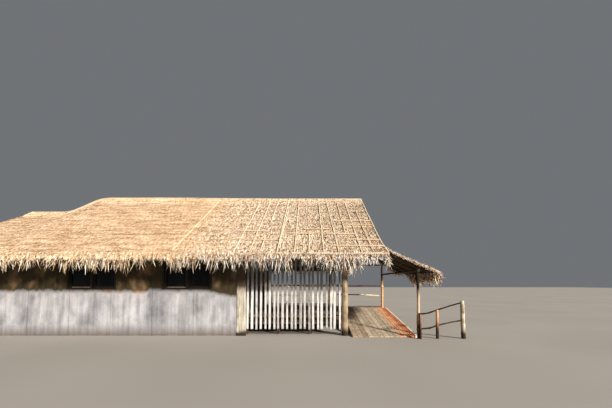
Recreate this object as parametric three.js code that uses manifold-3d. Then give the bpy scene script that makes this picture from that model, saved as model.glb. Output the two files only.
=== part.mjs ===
// Thatched cabin with a slatted veranda, an entry ramp and a small thatched canopy.
// Millimetres, +Z up, +X along the ridge to the veranda end, -Y towards the front.
// The origin is on the ground at the middle of the main body.

import * as THREE from "three";
import { mergeVertices } from "three/addons/utils/BufferGeometryUtils.js";
import Module from "manifold-3d";

const wasm = await Module();
wasm.setup();

// Clearance between touching pieces, how far a cutting tool overreaches, and how far a joint laps
const GAP = 0.3;
const OVERCUT = 1;
const LAP = 5;

// Main body
const WALL_X0 = -6200;
const WALL_X1 = 2690;
const WALL_Y = 3280;
const WALL_THICK = 120;
const ROOM_END_X1 = 2890;
const FLOOR_Z = 620;

// Roof: the line of the ridge as (x, height), stepping down over the left bay
const RIDGE_LINE = [
  [-7000, 4760],
  [-5260, 4760],
  [-4940, 4912],
  [-4580, 5063],
  [-4240, 5228],
  [-3840, 5340],
  [7270, 5340],
];
const VERGE_X0 = -7000;
const VERGE_X1 = 7270;
const EAVE_Y = 4180;
const EAVE_TOP = 2550;
const CAP_DEPTH = 70;
const CAP_HALF_WIDTH = 420;
const CAP_SHOULDER = 0.45;
const CAP_SHOULDER_RISE = 60;
const CAP_EDGE = 25;
const THATCH_DEPTH = 180;
const PURLIN_DEPTH = 70;
const PURLIN_WIDTH = 70;
const RAFTER_DEPTH = 160;
const RAFTER_WIDTH = 90;
const RAFTER_END = 60;
const PURLIN_INSET = 20;
const PURLIN_NOTCH = 8;
const RIDGE_POLE_HALF = 60;
const RIDGE_POLE_DEPTH = 190;
const RIDGE_POLE_INSET = 30;
const PLATE_DEPTH = 150;
const PLATE_END = 100;
const PLATE_INSET = 40;
const RAFTER_X = [-6900, -6140, -4700, -3200, -1600, 0, 1400, 2830, 4490, 6148, 7180];
const PURLIN_Y = [700, 1600, 2500, 3500, 4080];
const THATCH_ROWS = 4;

// Fringe of loose thatch under the eaves
const FRINGE_THICK = 50;
const FRINGE_DROP = 400;
const FRINGE_TOOTH = 170;
const FRINGE_SHORT = 0.7;
const FRINGE_SWAYS = [
  { share: 0.12, step: 2.3, start: 0 },
  { share: 0.1, step: 0.71, start: 1 },
];

// Windows as [x0, x1] along the wall
const WINDOWS = { left: [-2760, -1160], right: [300, 1900] };
const WINDOW_SILL = 1460;
const WINDOW_HEAD = 2300;
const FRAME_WIDTH = 60;
const FRAME_DEPTH = 90;
const FRAME_RECESS = 10;
const GLASS_THICK = 6;

// Doorway from the veranda into the rooms
const DOOR_Y0 = 550;
const DOOR_Y1 = 1450;
const DOOR_HEAD = 2600;

// Veranda
const POST_X0 = 2690;
const POST_X1 = 2985;
const POST_Y0 = 3160;
const POST_Y1 = 3300;
const TRUNK_X = 6148;
const TRUNK_Y = 3220;
const TRUNK_RADIUS = 98;
const TRUNK_FLARE = 12;
const DECK_X1 = 6210;
const DECK_Y = 3185;
const DECK_THICK = 50;
const DECK_CLEARANCE = 2;
const BEARER = { xs: [2950, 4000, 5050, 6100], reach: 3080, width: 90, depth: 120 };
const JOIST = { ys: [-2900, -1450, 0, 1450, 2900], x0: 2905, x1: 6145, width: 100, depth: 120 };
const DECK_LEG = { sizeX: 88, sizeY: 98 };
const SLAT_COUNT = 22;
const SLAT_WIDTH = 74;
const SLAT_THICK = 25;
const SLAT_BOTTOM = 180;
const SCREEN_RAIL = 70;
const SCREEN_RAIL_DEPTH = 40;
const SCREEN_RAIL_DROP = 120;
const SCREEN_RAIL_MIDDLE = 1560;
const BACK_RAILS = { heights: [1480, 1020], depth: 50, rise: 60 };
const BACK_RAIL_POSTS = { width: 58, inset: 30, shy: 1, below: 90, top: 1530 };

// Trusses
const TRUSS_X = { left: -3200, middle: 0, veranda: 4490, gable: TRUNK_X };
const TIE_BOTTOM = 2500;
const TIE_DEPTH = 160;
const TIE_WIDTH = 100;
const KING_SIZE = [98, 100];

// Landing and ramp
const LANDING_X1 = 8340;
const LANDING_Y0 = 140;
const LANDING_Y1 = 1140;
const LANDING_LEGS = { xs: [6330, 7285, 8240], inset: 60, half: 45 };
const KERB_WIDTH = 75;
const RAMP_X0 = 6350;
const RAMP_X1 = LANDING_X1 - KERB_WIDTH;
const RAMP_FOOT_Y = -3610;
const RAMP_TOE = 15;
const RAMP_DEPTH = 120;
const KERB_RISE = 45;
const KERB_EXTRA_DEPTH = 40;
const RAIL_RADIUS = 32;
const RAIL_HEIGHTS = [1540, 1110];
const RAIL_START_X = 6300;
const RAIL_POST = { x: 6400, radius: 45, top: 1640, inset: 60 };

// Porch and canopy
const PORCH_BACK = [8200, 210];
const PORCH_BACK_RADIUS = 50;
const PORCH_FRONT = [8330, -3780];
const PORCH_FRONT_RADIUS = 65;
const PORCH_FRONT_FLARE = 10;
// Bends of the front post, as [dx, dy, height, how much thinner]
const PORCH_FRONT_BENDS = [
  [0, 0, 1000, 0],
  [28, 10, 1450, 6],
];
const PORCH_FRONT_HEAD = { dx: -14, thinner: 8 };
const CANOPY_Y0 = -3910;
const CANOPY_Y1 = -1410;
const CANOPY_SLOPE = 0.46;
const CANOPY_DEPTH = 110;
const CANOPY_EDGE_X = 8990;
// The drooping lip: distances in from the edge, and depths below the slope at the edge
const CANOPY_LIP = { bend: 90, inside: 60, tip: 10, round: 70, roundDrop: 60, insideDrop: 300, tipDrop: 310 };
const CANOPY_RAFTER = 50;
const CANOPY_RAFTER_HALF = 30;
const CANOPY_RAFTER_END = 110;
const CANOPY_RAFTER_Y = [-3800, -3030, -2260, -1500];
const LEDGER_X0 = 7280;
const LEDGER_X1 = 7360;
const LEDGER_INSET = 60;
const LEDGER_SETBACK = 2;
const PORCH_BEAM = { half: 40, depth: 80, offset: -30, inset: 10 };
const CROSS_BEAM = { half: 40, depth: 90, start: 60, end: 70 };

// Entry fence beyond the front porch post
const FENCE_POSTS = [
  { x: 8870, top: 920, radius: 42 },
  { x: 9670, top: 1150, radius: 62 },
];
const FENCE_RAILS = [
  [750, 860, 1090],
  [280, 400, 550],
];
const FENCE_RAIL_RADIUS = 32;
const FENCE_POST_FLARE = 4;

// Finishes

function finish(color, roughness) {
  return new THREE.MeshStandardMaterial({ color, roughness, metalness: 0 });
}

const plaster = finish(0xa39a86, 0.95);
const cement = finish(0x9a958a, 0.95);
const thatch = finish(0xb9a47f, 1.0);
const greyTimber = finish(0x8c8478, 0.85);
const paleTimber = finish(0xb9ab95, 0.85);
const darkTimber = finish(0x3c342c, 0.8);
const redTimber = finish(0xa4644a, 0.8);
const creamPaint = finish(0xd8cdb4, 0.7);
const bamboo = finish(0xc09a5e, 0.6);
const glass = finish(0x2a3a44, 0.1);

// Shapes

function outline(points) {
  return new THREE.Shape(points.map(([a, b]) => new THREE.Vector2(a, b)));
}

function extrude(shape, depth, basis, start) {
  const geometry = new THREE.ExtrudeGeometry(shape, { depth, bevelEnabled: false });
  geometry.applyMatrix4(basis);
  geometry.translate(...start);
  return geometry;
}

const ALONG_X = new THREE.Matrix4().makeBasis(
  new THREE.Vector3(0, 1, 0),
  new THREE.Vector3(0, 0, 1),
  new THREE.Vector3(1, 0, 0),
);
const ALONG_Y = new THREE.Matrix4().makeBasis(
  new THREE.Vector3(1, 0, 0),
  new THREE.Vector3(0, 0, 1),
  new THREE.Vector3(0, -1, 0),
);
const ALONG_Z = new THREE.Matrix4();

// A (y, z) outline run along X
function prismX(points, x0, x1) {
  return extrude(outline(points), x1 - x0, ALONG_X, [x0, 0, 0]);
}

// An (x, z) outline or shape run along Y
function prismY(shape, y0, y1) {
  return extrude(Array.isArray(shape) ? outline(shape) : shape, y1 - y0, ALONG_Y, [0, y1, 0]);
}

// An (x, y) outline run along Z
function prismZ(points, z0, z1) {
  return extrude(outline(points), z1 - z0, ALONG_Z, [0, 0, z0]);
}

// The range of a width about its middle
function around(middle, width) {
  return [middle - width / 2, middle + width / 2];
}

function box([x0, x1], [y0, y1], [z0, z1]) {
  const geometry = new THREE.BoxGeometry(x1 - x0, y1 - y0, z1 - z0);
  geometry.translate((x0 + x1) / 2, (y0 + y1) / 2, (z0 + z1) / 2);
  return geometry;
}

// A closed solid through like sections, each a ring of points in order
function loft(rings) {
  const count = rings[0].length;
  const last = (rings.length - 1) * count;
  const index = [];
  for (let r = 0; r < rings.length - 1; r++) {
    for (let i = 0; i < count; i++) {
      const a = r * count + i;
      const b = r * count + ((i + 1) % count);
      index.push(a, b, a + count, b, b + count, a + count);
    }
  }
  for (let i = 1; i < count - 1; i++) {
    index.push(0, i + 1, i);
    index.push(last, last + i, last + i + 1);
  }
  const geometry = new THREE.BufferGeometry();
  geometry.setAttribute("position", new THREE.Float32BufferAttribute(rings.flat(2), 3));
  geometry.setIndex(index);
  return solidOf(geometry).volume() < 0 ? turned(geometry) : geometry;
}

// The same surface with its faces turned round
function turned(geometry) {
  const index = Array.from(geometry.index.array);
  for (let i = 0; i < index.length; i += 3) {
    [index[i + 1], index[i + 2]] = [index[i + 2], index[i + 1]];
  }
  geometry.setIndex(index);
  return geometry;
}

// A round pole of SIDES sides between two points
const SIDES = 10;
function pole(from, to, radius, endRadius = radius) {
  const a = new THREE.Vector3(...from);
  const b = new THREE.Vector3(...to);
  const geometry = new THREE.CylinderGeometry(endRadius, radius, a.distanceTo(b), SIDES);
  const turn = new THREE.Quaternion().setFromUnitVectors(
    new THREE.Vector3(0, 1, 0),
    b.clone().sub(a).normalize(),
  );
  geometry.applyQuaternion(turn);
  const middle = a.add(b).multiplyScalar(0.5);
  geometry.translate(middle.x, middle.y, middle.z);
  return geometry;
}

// An upright natural trunk: rings of [dx, dy, z, radius]
function trunk([x, y], rings) {
  return loft(
    rings.map(([dx, dy, z, radius]) =>
      Array.from({ length: SIDES }, (unused, i) => {
        const turn = (2 * Math.PI * i) / SIDES;
        return [x + dx + radius * Math.cos(turn), y + dy + radius * Math.sin(turn), z];
      }),
    ),
  );
}

// Joins and cuts

function solidOf(geometry) {
  const bare = geometry.clone();
  bare.deleteAttribute("normal");
  bare.deleteAttribute("uv");
  const merged = mergeVertices(bare, 1e-3);
  return new wasm.Manifold(
    new wasm.Mesh({
      numProp: 3,
      vertProperties: new Float32Array(merged.attributes.position.array),
      triVerts: new Uint32Array(merged.index.array),
    }),
  );
}

function geometryOf(solid) {
  const mesh = solid.getMesh();
  const geometry = new THREE.BufferGeometry();
  geometry.setAttribute("position", new THREE.BufferAttribute(mesh.vertProperties, 3));
  geometry.setIndex(new THREE.BufferAttribute(mesh.triVerts, 1));
  return geometry;
}

function shifted(geometry, rise) {
  return geometry.clone().translate(0, 0, rise);
}

function fuse(geometries) {
  return geometryOf(geometries.map(solidOf).reduce((a, b) => a.add(b)));
}

function cut(geometry, ...tools) {
  return geometryOf(tools.map(solidOf).reduce((a, b) => a.subtract(b), solidOf(geometry)));
}

const cabin = new THREE.Group();

function add(name, geometry, material) {
  geometry.computeVertexNormals();
  const mesh = new THREE.Mesh(geometry, material);
  mesh.name = name;
  cabin.add(mesh);
}

// Roof surfaces

function ridgeTop(x) {
  for (let i = 1; i < RIDGE_LINE.length; i++) {
    const [x0, z0] = RIDGE_LINE[i - 1];
    const [x1, z1] = RIDGE_LINE[i];
    if (x <= x1) return z0 + ((z1 - z0) * Math.max(0, x - x0)) / (x1 - x0);
  }
  return RIDGE_LINE.at(-1)[1];
}

// Height of the thatch surface at a place, less a depth below it
function roofZ(x, y, below = 0) {
  const apex = ridgeTop(x) - CAP_DEPTH;
  return apex - (Math.abs(y) / EAVE_Y) * (apex - EAVE_TOP) - below;
}

// An upright shift that leaves at least GAP square to the slope
const SLOPE_GAP = 1.5 * GAP;
const RAFTER_TOP = THATCH_DEPTH + PURLIN_DEPTH;
const RAFTER_UNDER = RAFTER_TOP + RAFTER_DEPTH;

function plateTop(x) {
  return roofZ(x, WALL_Y, RAFTER_UNDER) - GAP;
}

function plateUnder(x) {
  return plateTop(x) - PLATE_DEPTH;
}

// The bends of the ridge line between two places, with both ends
function stations(x0, x1) {
  const bends = RIDGE_LINE.map(([x]) => x).filter((x) => x > x0 && x < x1);
  return [x0, ...bends, x1];
}

// A solid that follows the bends of the roof, by its (y, z) section at each x
function alongRoof(x0, x1, section) {
  return loft(stations(x0, x1).map((x) => section(x).map(([y, z]) => [x, y, z])));
}

// Walls

function longWall(name, side) {
  const [y0, y1] = side < 0 ? [-WALL_Y, WALL_THICK - WALL_Y] : [WALL_Y - WALL_THICK, WALL_Y];
  const top = stations(WALL_X0, WALL_X1 - GAP).map((x) => [x, plateUnder(x) - GAP]);
  const wall = prismY([[WALL_X0, 0], [WALL_X1 - GAP, 0], ...top.reverse()], y0, y1);
  const holes = Object.values(WINDOWS).map((range) =>
    box(range, [y0 - OVERCUT, y1 + OVERCUT], [WINDOW_SILL, WINDOW_HEAD]),
  );
  add(name, cut(wall, ...holes), plaster);
}

function gableOutline(x, reach, doorway) {
  const top = (y) => roofZ(x, y, RAFTER_UNDER) - GAP;
  const floor = doorway
    ? [[DOOR_Y0, 0], [DOOR_Y0, DOOR_HEAD], [DOOR_Y1, DOOR_HEAD], [DOOR_Y1, 0]]
    : [];
  return [[-reach, 0], ...floor, [reach, 0], [reach, top(reach)], [0, top(0)], [-reach, top(reach)]];
}

function buildWalls() {
  const inside = WALL_Y - WALL_THICK - GAP;
  longWall("front_wall", -1);
  longWall("back_wall", 1);
  add("left_end_wall", prismX(gableOutline(WALL_X0, inside), WALL_X0, WALL_X0 + WALL_THICK), plaster);
  const endX0 = ROOM_END_X1 - WALL_THICK;
  const endWall = prismX(gableOutline(ROOM_END_X1, POST_Y0 - GAP, true), endX0, ROOM_END_X1);
  add("room_end_wall", endWall, plaster);
  const floor = box([WALL_X0 + WALL_THICK + GAP, endX0 - GAP], [-inside, inside], [0, FLOOR_Z]);
  add("raised_floor", floor, cement);
  const step = box([endX0 - GAP / 2, ROOM_END_X1], [DOOR_Y0 + GAP, DOOR_Y1 - GAP], [0, FLOOR_Z]);
  add("door_sill", step, cement);
}

function buildDoorFrame() {
  const y0 = DOOR_Y0 + GAP;
  const y1 = DOOR_Y1 - GAP;
  const z0 = FLOOR_Z + GAP;
  const z1 = DOOR_HEAD - GAP;
  const inner = FRAME_WIDTH;
  const frame = [
    [y0, z0], [y0 + inner, z0], [y0 + inner, z1 - inner], [y1 - inner, z1 - inner],
    [y1 - inner, z0], [y1, z0], [y1, z1], [y0, z1],
  ];
  add("door_frame", prismX(frame, ROOM_END_X1 - WALL_THICK, ROOM_END_X1), redTimber);
}

// A window of two panes set in the wall, and its sheet of glass behind
function buildWindow(place, [x0, x1], side) {
  const width = [x0 + GAP, x1 - GAP];
  const height = [WINDOW_SILL + GAP, WINDOW_HEAD - GAP];
  const outer = WALL_Y - FRAME_RECESS;
  const inner = outer - FRAME_DEPTH;
  const rebate = [inner - GAP - GLASS_THICK, inner - GAP];
  const span = (a, b) => (side < 0 ? [-b, -a] : [a, b]);
  const middle = (x0 + x1) / 2;
  const paneHeight = [height[0] + FRAME_WIDTH, height[1] - FRAME_WIDTH];
  const depth = span(inner - OVERCUT, outer + OVERCUT);
  const panes = [
    box([width[0] + FRAME_WIDTH, middle - FRAME_WIDTH / 2], depth, paneHeight),
    box([middle + FRAME_WIDTH / 2, width[1] - FRAME_WIDTH], depth, paneHeight),
  ];
  const frame = box(width, span(inner, outer), height);
  add(`window_frame_${place}`, cut(frame, ...panes), darkTimber);
  add(`window_glass_${place}`, box(width, span(...rebate), height), glass);
}

function buildWindows() {
  for (const [place, range] of Object.entries(WINDOWS)) {
    buildWindow(`front_${place}`, range, -1);
    buildWindow(`back_${place}`, range, 1);
  }
}

// Veranda

function buildVerandaPosts() {
  for (const [name, side] of [["front", -1], ["back", 1]]) {
    const span = side < 0 ? [-POST_Y1, -POST_Y0] : [POST_Y0, POST_Y1];
    const top = plateUnder(POST_X0) - GAP;
    add(`corner_post_${name}`, box([POST_X0, POST_X1], span, [0, top]), paleTimber);
    const rings = [
      [0, 0, 0, TRUNK_RADIUS + TRUNK_FLARE],
      [0, 0, SLAT_BOTTOM, TRUNK_RADIUS],
      [0, 0, top, TRUNK_RADIUS],
    ];
    add(`trunk_post_${name}`, trunk([TRUNK_X, side * TRUNK_Y], rings), greyTimber);
  }
}

function buildDeck() {
  const x0 = ROOM_END_X1 + GAP;
  const x1 = POST_X1 + GAP;
  const x2 = TRUNK_X - TRUNK_RADIUS - DECK_CLEARANCE;
  const y1 = POST_Y0 - GAP;
  const y2 = TRUNK_Y - TRUNK_RADIUS - DECK_CLEARANCE;
  const half = [[x0, y1], [x1, y1], [x1, DECK_Y], [x2, DECK_Y], [x2, y2], [DECK_X1, y2]];
  const mirrored = half.map(([x, y]) => [x, -y]).reverse();
  const boards = prismZ([...half, ...mirrored].reverse(), FLOOR_Z - DECK_THICK, FLOOR_Z);
  add("veranda_deck", boards, greyTimber);

  const beams = [];
  const top = FLOOR_Z - DECK_THICK - GAP;
  const joistTop = top - BEARER.depth + LAP;
  const joistUnder = joistTop - JOIST.depth;
  for (const x of BEARER.xs) {
    beams.push(box(around(x, BEARER.width), [-BEARER.reach, BEARER.reach], [top - BEARER.depth, top]));
  }
  for (const y of JOIST.ys) {
    beams.push(box([JOIST.x0, JOIST.x1], around(y, JOIST.width), [joistUnder, joistTop]));
    for (const x of BEARER.xs) {
      beams.push(box(around(x, DECK_LEG.sizeX), around(y, DECK_LEG.sizeY), [0, joistUnder + LAP]));
    }
  }
  add("deck_frame", fuse(beams), greyTimber);
}

function buildSlatScreen() {
  const x0 = POST_X1 + GAP;
  const x1 = TRUNK_X - TRUNK_RADIUS - GAP;
  const top = plateUnder(POST_X0) - GAP;
  const back = -DECK_Y - GAP;
  const railFront = back - SCREEN_RAIL_DEPTH;
  const slatDepth = [railFront - SLAT_THICK + LAP, railFront + LAP];
  const rails = [top - SCREEN_RAIL_DROP, SCREEN_RAIL_MIDDLE, FLOOR_Z - SCREEN_RAIL];
  const pieces = rails.map((z) => box([x0, x1], [railFront, back], [z, z + SCREEN_RAIL]));
  const pitch = (x1 - x0) / SLAT_COUNT;
  for (let i = 0; i < SLAT_COUNT; i++) {
    pieces.push(box(around(x0 + pitch * (i + 0.5), SLAT_WIDTH), slatDepth, [SLAT_BOTTOM, top]));
  }
  add("slat_screen", fuse(pieces), paleTimber);
}

function buildBackRailing() {
  const x0 = POST_X1 + GAP;
  const x1 = TRUNK_X - TRUNK_RADIUS - GAP;
  const y0 = DECK_Y + GAP;
  const y1 = y0 + BACK_RAILS.depth;
  const { width, inset, shy, below, top } = BACK_RAIL_POSTS;
  const pieces = BACK_RAILS.heights.map((z) => box([x0, x1], [y0, y1], [z, z + BACK_RAILS.rise]));
  for (const x of [x0 + inset, (x0 + x1) / 2, x1 - inset]) {
    pieces.push(box(around(x, width), [y0 + shy, y1 - shy], [FLOOR_Z - below, top]));
  }
  add("veranda_back_railing", fuse(pieces), greyTimber);
}

// Roof frame

function wallPlate(side) {
  const outer = side * WALL_Y;
  const inner = side * (WALL_Y - WALL_THICK);
  const section = (x) => {
    const top = plateTop(x);
    return [[outer, top], [outer, top - PLATE_DEPTH], [inner, top - PLATE_DEPTH], [inner, top]];
  };
  return alongRoof(VERGE_X0 + PLATE_INSET, VERGE_X1 + PLATE_END, section);
}

function buildPlates() {
  add("wall_plate_front", wallPlate(-1), greyTimber);
  add("wall_plate_back", wallPlate(1), greyTimber);
}

function ridgePoleUnder(x) {
  return roofZ(x, RIDGE_POLE_HALF, THATCH_DEPTH) - GAP - RIDGE_POLE_DEPTH;
}

function buildRidgePole() {
  const half = RIDGE_POLE_HALF;
  const section = (x) => {
    const under = ridgePoleUnder(x);
    const top = under + RIDGE_POLE_DEPTH;
    return [[-half, under], [half, under], [half, top], [-half, top]];
  };
  const pole = alongRoof(VERGE_X0 + RIDGE_POLE_INSET, VERGE_X1 + PLATE_END / 2, section);
  const thatchUnder = [-1, 1].map((side) => shifted(thatchSlope(side), -SLOPE_GAP));
  add("ridge_pole", cut(pole, ...thatchUnder), greyTimber);
}

// Rafters and purlins of one slope, lashed together
function roofFrame(side) {
  const inner = RIDGE_POLE_HALF + GAP;
  const outer = EAVE_Y - RAFTER_END;
  const rafter = (x) => [
    [side * inner, roofZ(x, inner, RAFTER_TOP)], [side * outer, roofZ(x, outer, RAFTER_TOP)],
    [side * outer, roofZ(x, outer, RAFTER_UNDER)], [side * inner, roofZ(x, inner, RAFTER_UNDER)],
  ];
  const pieces = RAFTER_X.map((x) => alongRoof(...around(x, RAFTER_WIDTH), rafter));
  for (const y of PURLIN_Y) {
    const edges = around(y, PURLIN_WIDTH);
    const purlin = (x) => {
      const top = edges.map((v) => [side * v, roofZ(x, v, THATCH_DEPTH - OVERCUT)]);
      const under = edges.map((v) => [side * v, roofZ(x, v, RAFTER_TOP + PURLIN_NOTCH)]);
      return [...top, ...under.reverse()];
    };
    pieces.push(alongRoof(VERGE_X0 + PURLIN_INSET, VERGE_X1 - PURLIN_INSET, purlin));
  }
  return cut(fuse(pieces), shifted(thatchSlope(side), -SLOPE_GAP), shifted(wallPlate(side), SLOPE_GAP));
}

function buildTrusses() {
  for (const [name, x] of Object.entries(TRUSS_X)) {
    const atTrunk = TRUNK_Y - TRUNK_RADIUS * Math.cos(Math.PI / SIDES) - GAP;
    const reach = name === "gable" ? atTrunk : WALL_Y - WALL_THICK - GAP;
    const tieTop = TIE_BOTTOM + TIE_DEPTH;
    const tie = box(around(x, TIE_WIDTH), [-reach, reach], [TIE_BOTTOM, tieTop]);
    const top = ridgePoleUnder(x) - GAP;
    const king = box(around(x, KING_SIZE[0]), around(0, KING_SIZE[1]), [tieTop - LAP, top]);
    add(`truss_${name}`, fuse([tie, king]), greyTimber);
  }
}

// Thatch

// One slope of thatch, in rows so that it follows the bend of the ridge
function thatchSlope(side) {
  const rows = Array.from({ length: THATCH_ROWS + 1 }, (unused, i) =>
    Math.max(GAP, (EAVE_Y * i) / THATCH_ROWS),
  );
  const section = (x) => {
    const top = rows.map((y) => [side * y, roofZ(x, y)]);
    const under = rows.map((y) => [side * y, roofZ(x, y, THATCH_DEPTH)]);
    return [...top, ...under.reverse()];
  };
  return alongRoof(VERGE_X0, VERGE_X1, section);
}

function buildThatch() {
  for (const [name, side] of [["front", -1], ["back", 1]]) {
    add(`roof_thatch_${name}`, thatchSlope(side), thatch);
    add(`roof_frame_${name}`, roofFrame(side), bamboo);
    const fringe = eaveFringe(VERGE_X0, VERGE_X1, EAVE_TOP - THATCH_DEPTH - GAP);
    const outer = side * EAVE_Y;
    const inner = outer - side * FRINGE_THICK;
    const span = [Math.min(outer, inner), Math.max(outer, inner)];
    add(`eave_fringe_${name}`, prismY(fringe, ...span), thatch);
  }
}

// The rounded cap of thatch that sits astride the ridge
function buildRidgeCap() {
  const reach = CAP_HALF_WIDTH;
  const bend = CAP_SHOULDER * reach;
  const section = (x) => {
    const foot = roofZ(x, reach) - OVERCUT;
    const edge = foot + CAP_EDGE;
    const crest = ridgeTop(x);
    const shoulder = roofZ(x, bend) + CAP_SHOULDER_RISE;
    return [
      [-reach, foot], [reach, foot], [reach, edge],
      [bend, shoulder], [0, crest], [-bend, shoulder], [-reach, edge],
    ];
  };
  const cap = alongRoof(VERGE_X0, VERGE_X1, section);
  const below = [-1, 1].map((side) => shifted(thatchSlope(side), SLOPE_GAP));
  const slot = alongRoof(VERGE_X0 - OVERCUT, VERGE_X1 + OVERCUT, (x) => [
    [-reach, roofZ(x, 0) - reach], [reach, roofZ(x, 0) - reach],
    [reach, roofZ(x, reach) + GAP], [0, roofZ(x, 0) + GAP], [-reach, roofZ(x, reach) + GAP],
  ]);
  add("ridge_cap", cut(cap, ...below, slot), thatch);
}

// A ragged skirt: straight top, teeth of changing length below
function eaveFringe(x0, x1, top) {
  const count = 2 * Math.round((x1 - x0) / FRINGE_TOOTH / 2);
  const lower = [];
  for (let i = 0; i <= count; i++) {
    const x = x0 + ((x1 - x0) * i) / count;
    const depth = FRINGE_SWAYS.reduce(
      (sum, { share, step, start }) => sum + share * Math.sin(step * i + start),
      i % 2 ? 1 : FRINGE_SHORT,
    );
    lower.push([x, top - FRINGE_DROP * depth]);
  }
  return [...lower, [x1, top], [x0, top]];
}

// Landing and ramp

function buildLanding() {
  const legs = [];
  const { xs, inset, half } = LANDING_LEGS;
  for (const x of xs) {
    for (const y of [LANDING_Y0 + inset, LANDING_Y1 - inset]) {
      legs.push(box(around(x, 2 * half), around(y, 2 * half), [0, FLOOR_Z - DECK_THICK + LAP]));
    }
  }
  const span = [DECK_X1 + GAP, LANDING_X1];
  const boards = box(span, [LANDING_Y0, LANDING_Y1], [FLOOR_Z - DECK_THICK, FLOOR_Z]);
  add("landing", fuse([boards, ...legs]), greyTimber);
}

function rampOutline(rise, depth) {
  const head = LANDING_Y0 - GAP;
  const slope = (FLOOR_Z - RAMP_TOE) / (head - RAMP_FOOT_Y);
  const under = FLOOR_Z - depth;
  return [
    [RAMP_FOOT_Y, 0], [head - under / slope, 0], [head, under],
    [head, FLOOR_Z + rise], [RAMP_FOOT_Y, RAMP_TOE + rise],
  ];
}

function buildRamp() {
  add("ramp", prismX(rampOutline(0, RAMP_DEPTH), RAMP_X0, RAMP_X1), greyTimber);
  const kerb = rampOutline(KERB_RISE, RAMP_DEPTH + KERB_EXTRA_DEPTH);
  add("ramp_kerb", prismX(kerb, RAMP_X1 + GAP, LANDING_X1), creamPaint);
}

function buildLandingRailing() {
  const x = LANDING_X1 - RAIL_POST.inset;
  const y = LANDING_Y1 - RAIL_POST.inset;
  const start = FLOOR_Z + GAP;
  const pieces = [RAIL_POST.x, x].map((at) => pole([at, y, start], [at, y, RAIL_POST.top], RAIL_POST.radius));
  const postSide = PORCH_BACK[1] + PORCH_BACK_RADIUS + OVERCUT;
  for (const z of RAIL_HEIGHTS) {
    pieces.push(pole([RAIL_START_X, y, z], [LANDING_X1, y, z], RAIL_RADIUS));
    pieces.push(pole([x, postSide, z], [x, y, z], RAIL_RADIUS));
  }
  add("landing_railing", fuse(pieces), redTimber);
}

// Porch and canopy

const LEDGER_TOP = plateUnder(VERGE_X1) - GAP;

function canopyZ(x, below = 0) {
  const inner = LEDGER_TOP + CANOPY_RAFTER + CANOPY_DEPTH;
  return inner - CANOPY_SLOPE * (x - LEDGER_X0) - below;
}

function buildCanopy() {
  const x0 = VERGE_X1 + 2 * GAP;
  const edge = CANOPY_EDGE_X;
  const { bend, inside, tip, round, roundDrop, insideDrop, tipDrop } = CANOPY_LIP;
  const section = [
    [x0, canopyZ(x0)], [x0, canopyZ(x0, CANOPY_DEPTH)],
    [edge - bend, canopyZ(edge - bend, CANOPY_DEPTH)],
    [edge - inside, canopyZ(edge, insideDrop)],
    [edge - tip, canopyZ(edge, tipDrop)],
    [edge, canopyZ(edge, roundDrop)], [edge - round, canopyZ(edge - round)],
  ];
  const plateEnd = box(
    [VERGE_X1, VERGE_X1 + PLATE_END + OVERCUT],
    [-WALL_Y - OVERCUT, WALL_THICK - WALL_Y + OVERCUT],
    [plateUnder(VERGE_X1) - OVERCUT, plateTop(VERGE_X1) + OVERCUT],
  );
  add("canopy_thatch", cut(prismY(section, CANOPY_Y0, CANOPY_Y1), plateEnd), thatch);

  const ledgerY = [CANOPY_Y0 + LEDGER_INSET, PORCH_BACK[1] + LEDGER_INSET];
  const pieces = [box([LEDGER_X0, LEDGER_X1], ledgerY, [TIE_BOTTOM, LEDGER_TOP])];
  const top = CANOPY_DEPTH + GAP;
  const under = CANOPY_DEPTH + CANOPY_RAFTER;
  const start = LEDGER_X0 + LEDGER_SETBACK;
  const end = CANOPY_EDGE_X - CANOPY_RAFTER_END;
  const profile = [
    [start, canopyZ(start, under)], [end, canopyZ(end, under)],
    [end, canopyZ(end, top)], [start, canopyZ(start, top)],
  ];
  for (const y of CANOPY_RAFTER_Y) {
    pieces.push(prismY(profile, ...around(y, 2 * CANOPY_RAFTER_HALF)));
  }
  add("canopy_frame", fuse(pieces), bamboo);
}

function buildPorch() {
  const [backX, backY] = PORCH_BACK;
  const crossTop = TIE_BOTTOM - GAP;
  const crossUnder = crossTop - CROSS_BEAM.depth;
  const post = pole([backX, backY, FLOOR_Z + GAP], [backX, backY, crossUnder - GAP], PORCH_BACK_RADIUS);
  add("porch_post_back", post, bamboo);
  const crossX = [TRUNK_X - CROSS_BEAM.start, backX + CROSS_BEAM.end];
  const cross = box(crossX, around(backY, 2 * CROSS_BEAM.half), [crossUnder, crossTop]);
  add("porch_cross_beam", cross, greyTimber);

  const beamX = around(PORCH_FRONT[0] + PORCH_BEAM.offset, 2 * PORCH_BEAM.half);
  const beamTop = canopyZ(beamX[1], CANOPY_DEPTH + CANOPY_RAFTER) - GAP;
  const beamUnder = beamTop - PORCH_BEAM.depth;
  const beamY = [CANOPY_Y0 + PORCH_BEAM.inset, backY - PORCH_BACK_RADIUS - GAP];
  add("porch_beam", box(beamX, beamY, [beamUnder, beamTop]), greyTimber);
  const rings = [
    [0, 0, 0, PORCH_FRONT_RADIUS + PORCH_FRONT_FLARE],
    ...PORCH_FRONT_BENDS.map(([dx, dy, z, thinner]) => [dx, dy, z, PORCH_FRONT_RADIUS - thinner]),
    [PORCH_FRONT_HEAD.dx, 0, beamUnder - GAP, PORCH_FRONT_RADIUS - PORCH_FRONT_HEAD.thinner],
  ];
  add("porch_post_front", trunk(PORCH_FRONT, rings), greyTimber);
}

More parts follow.
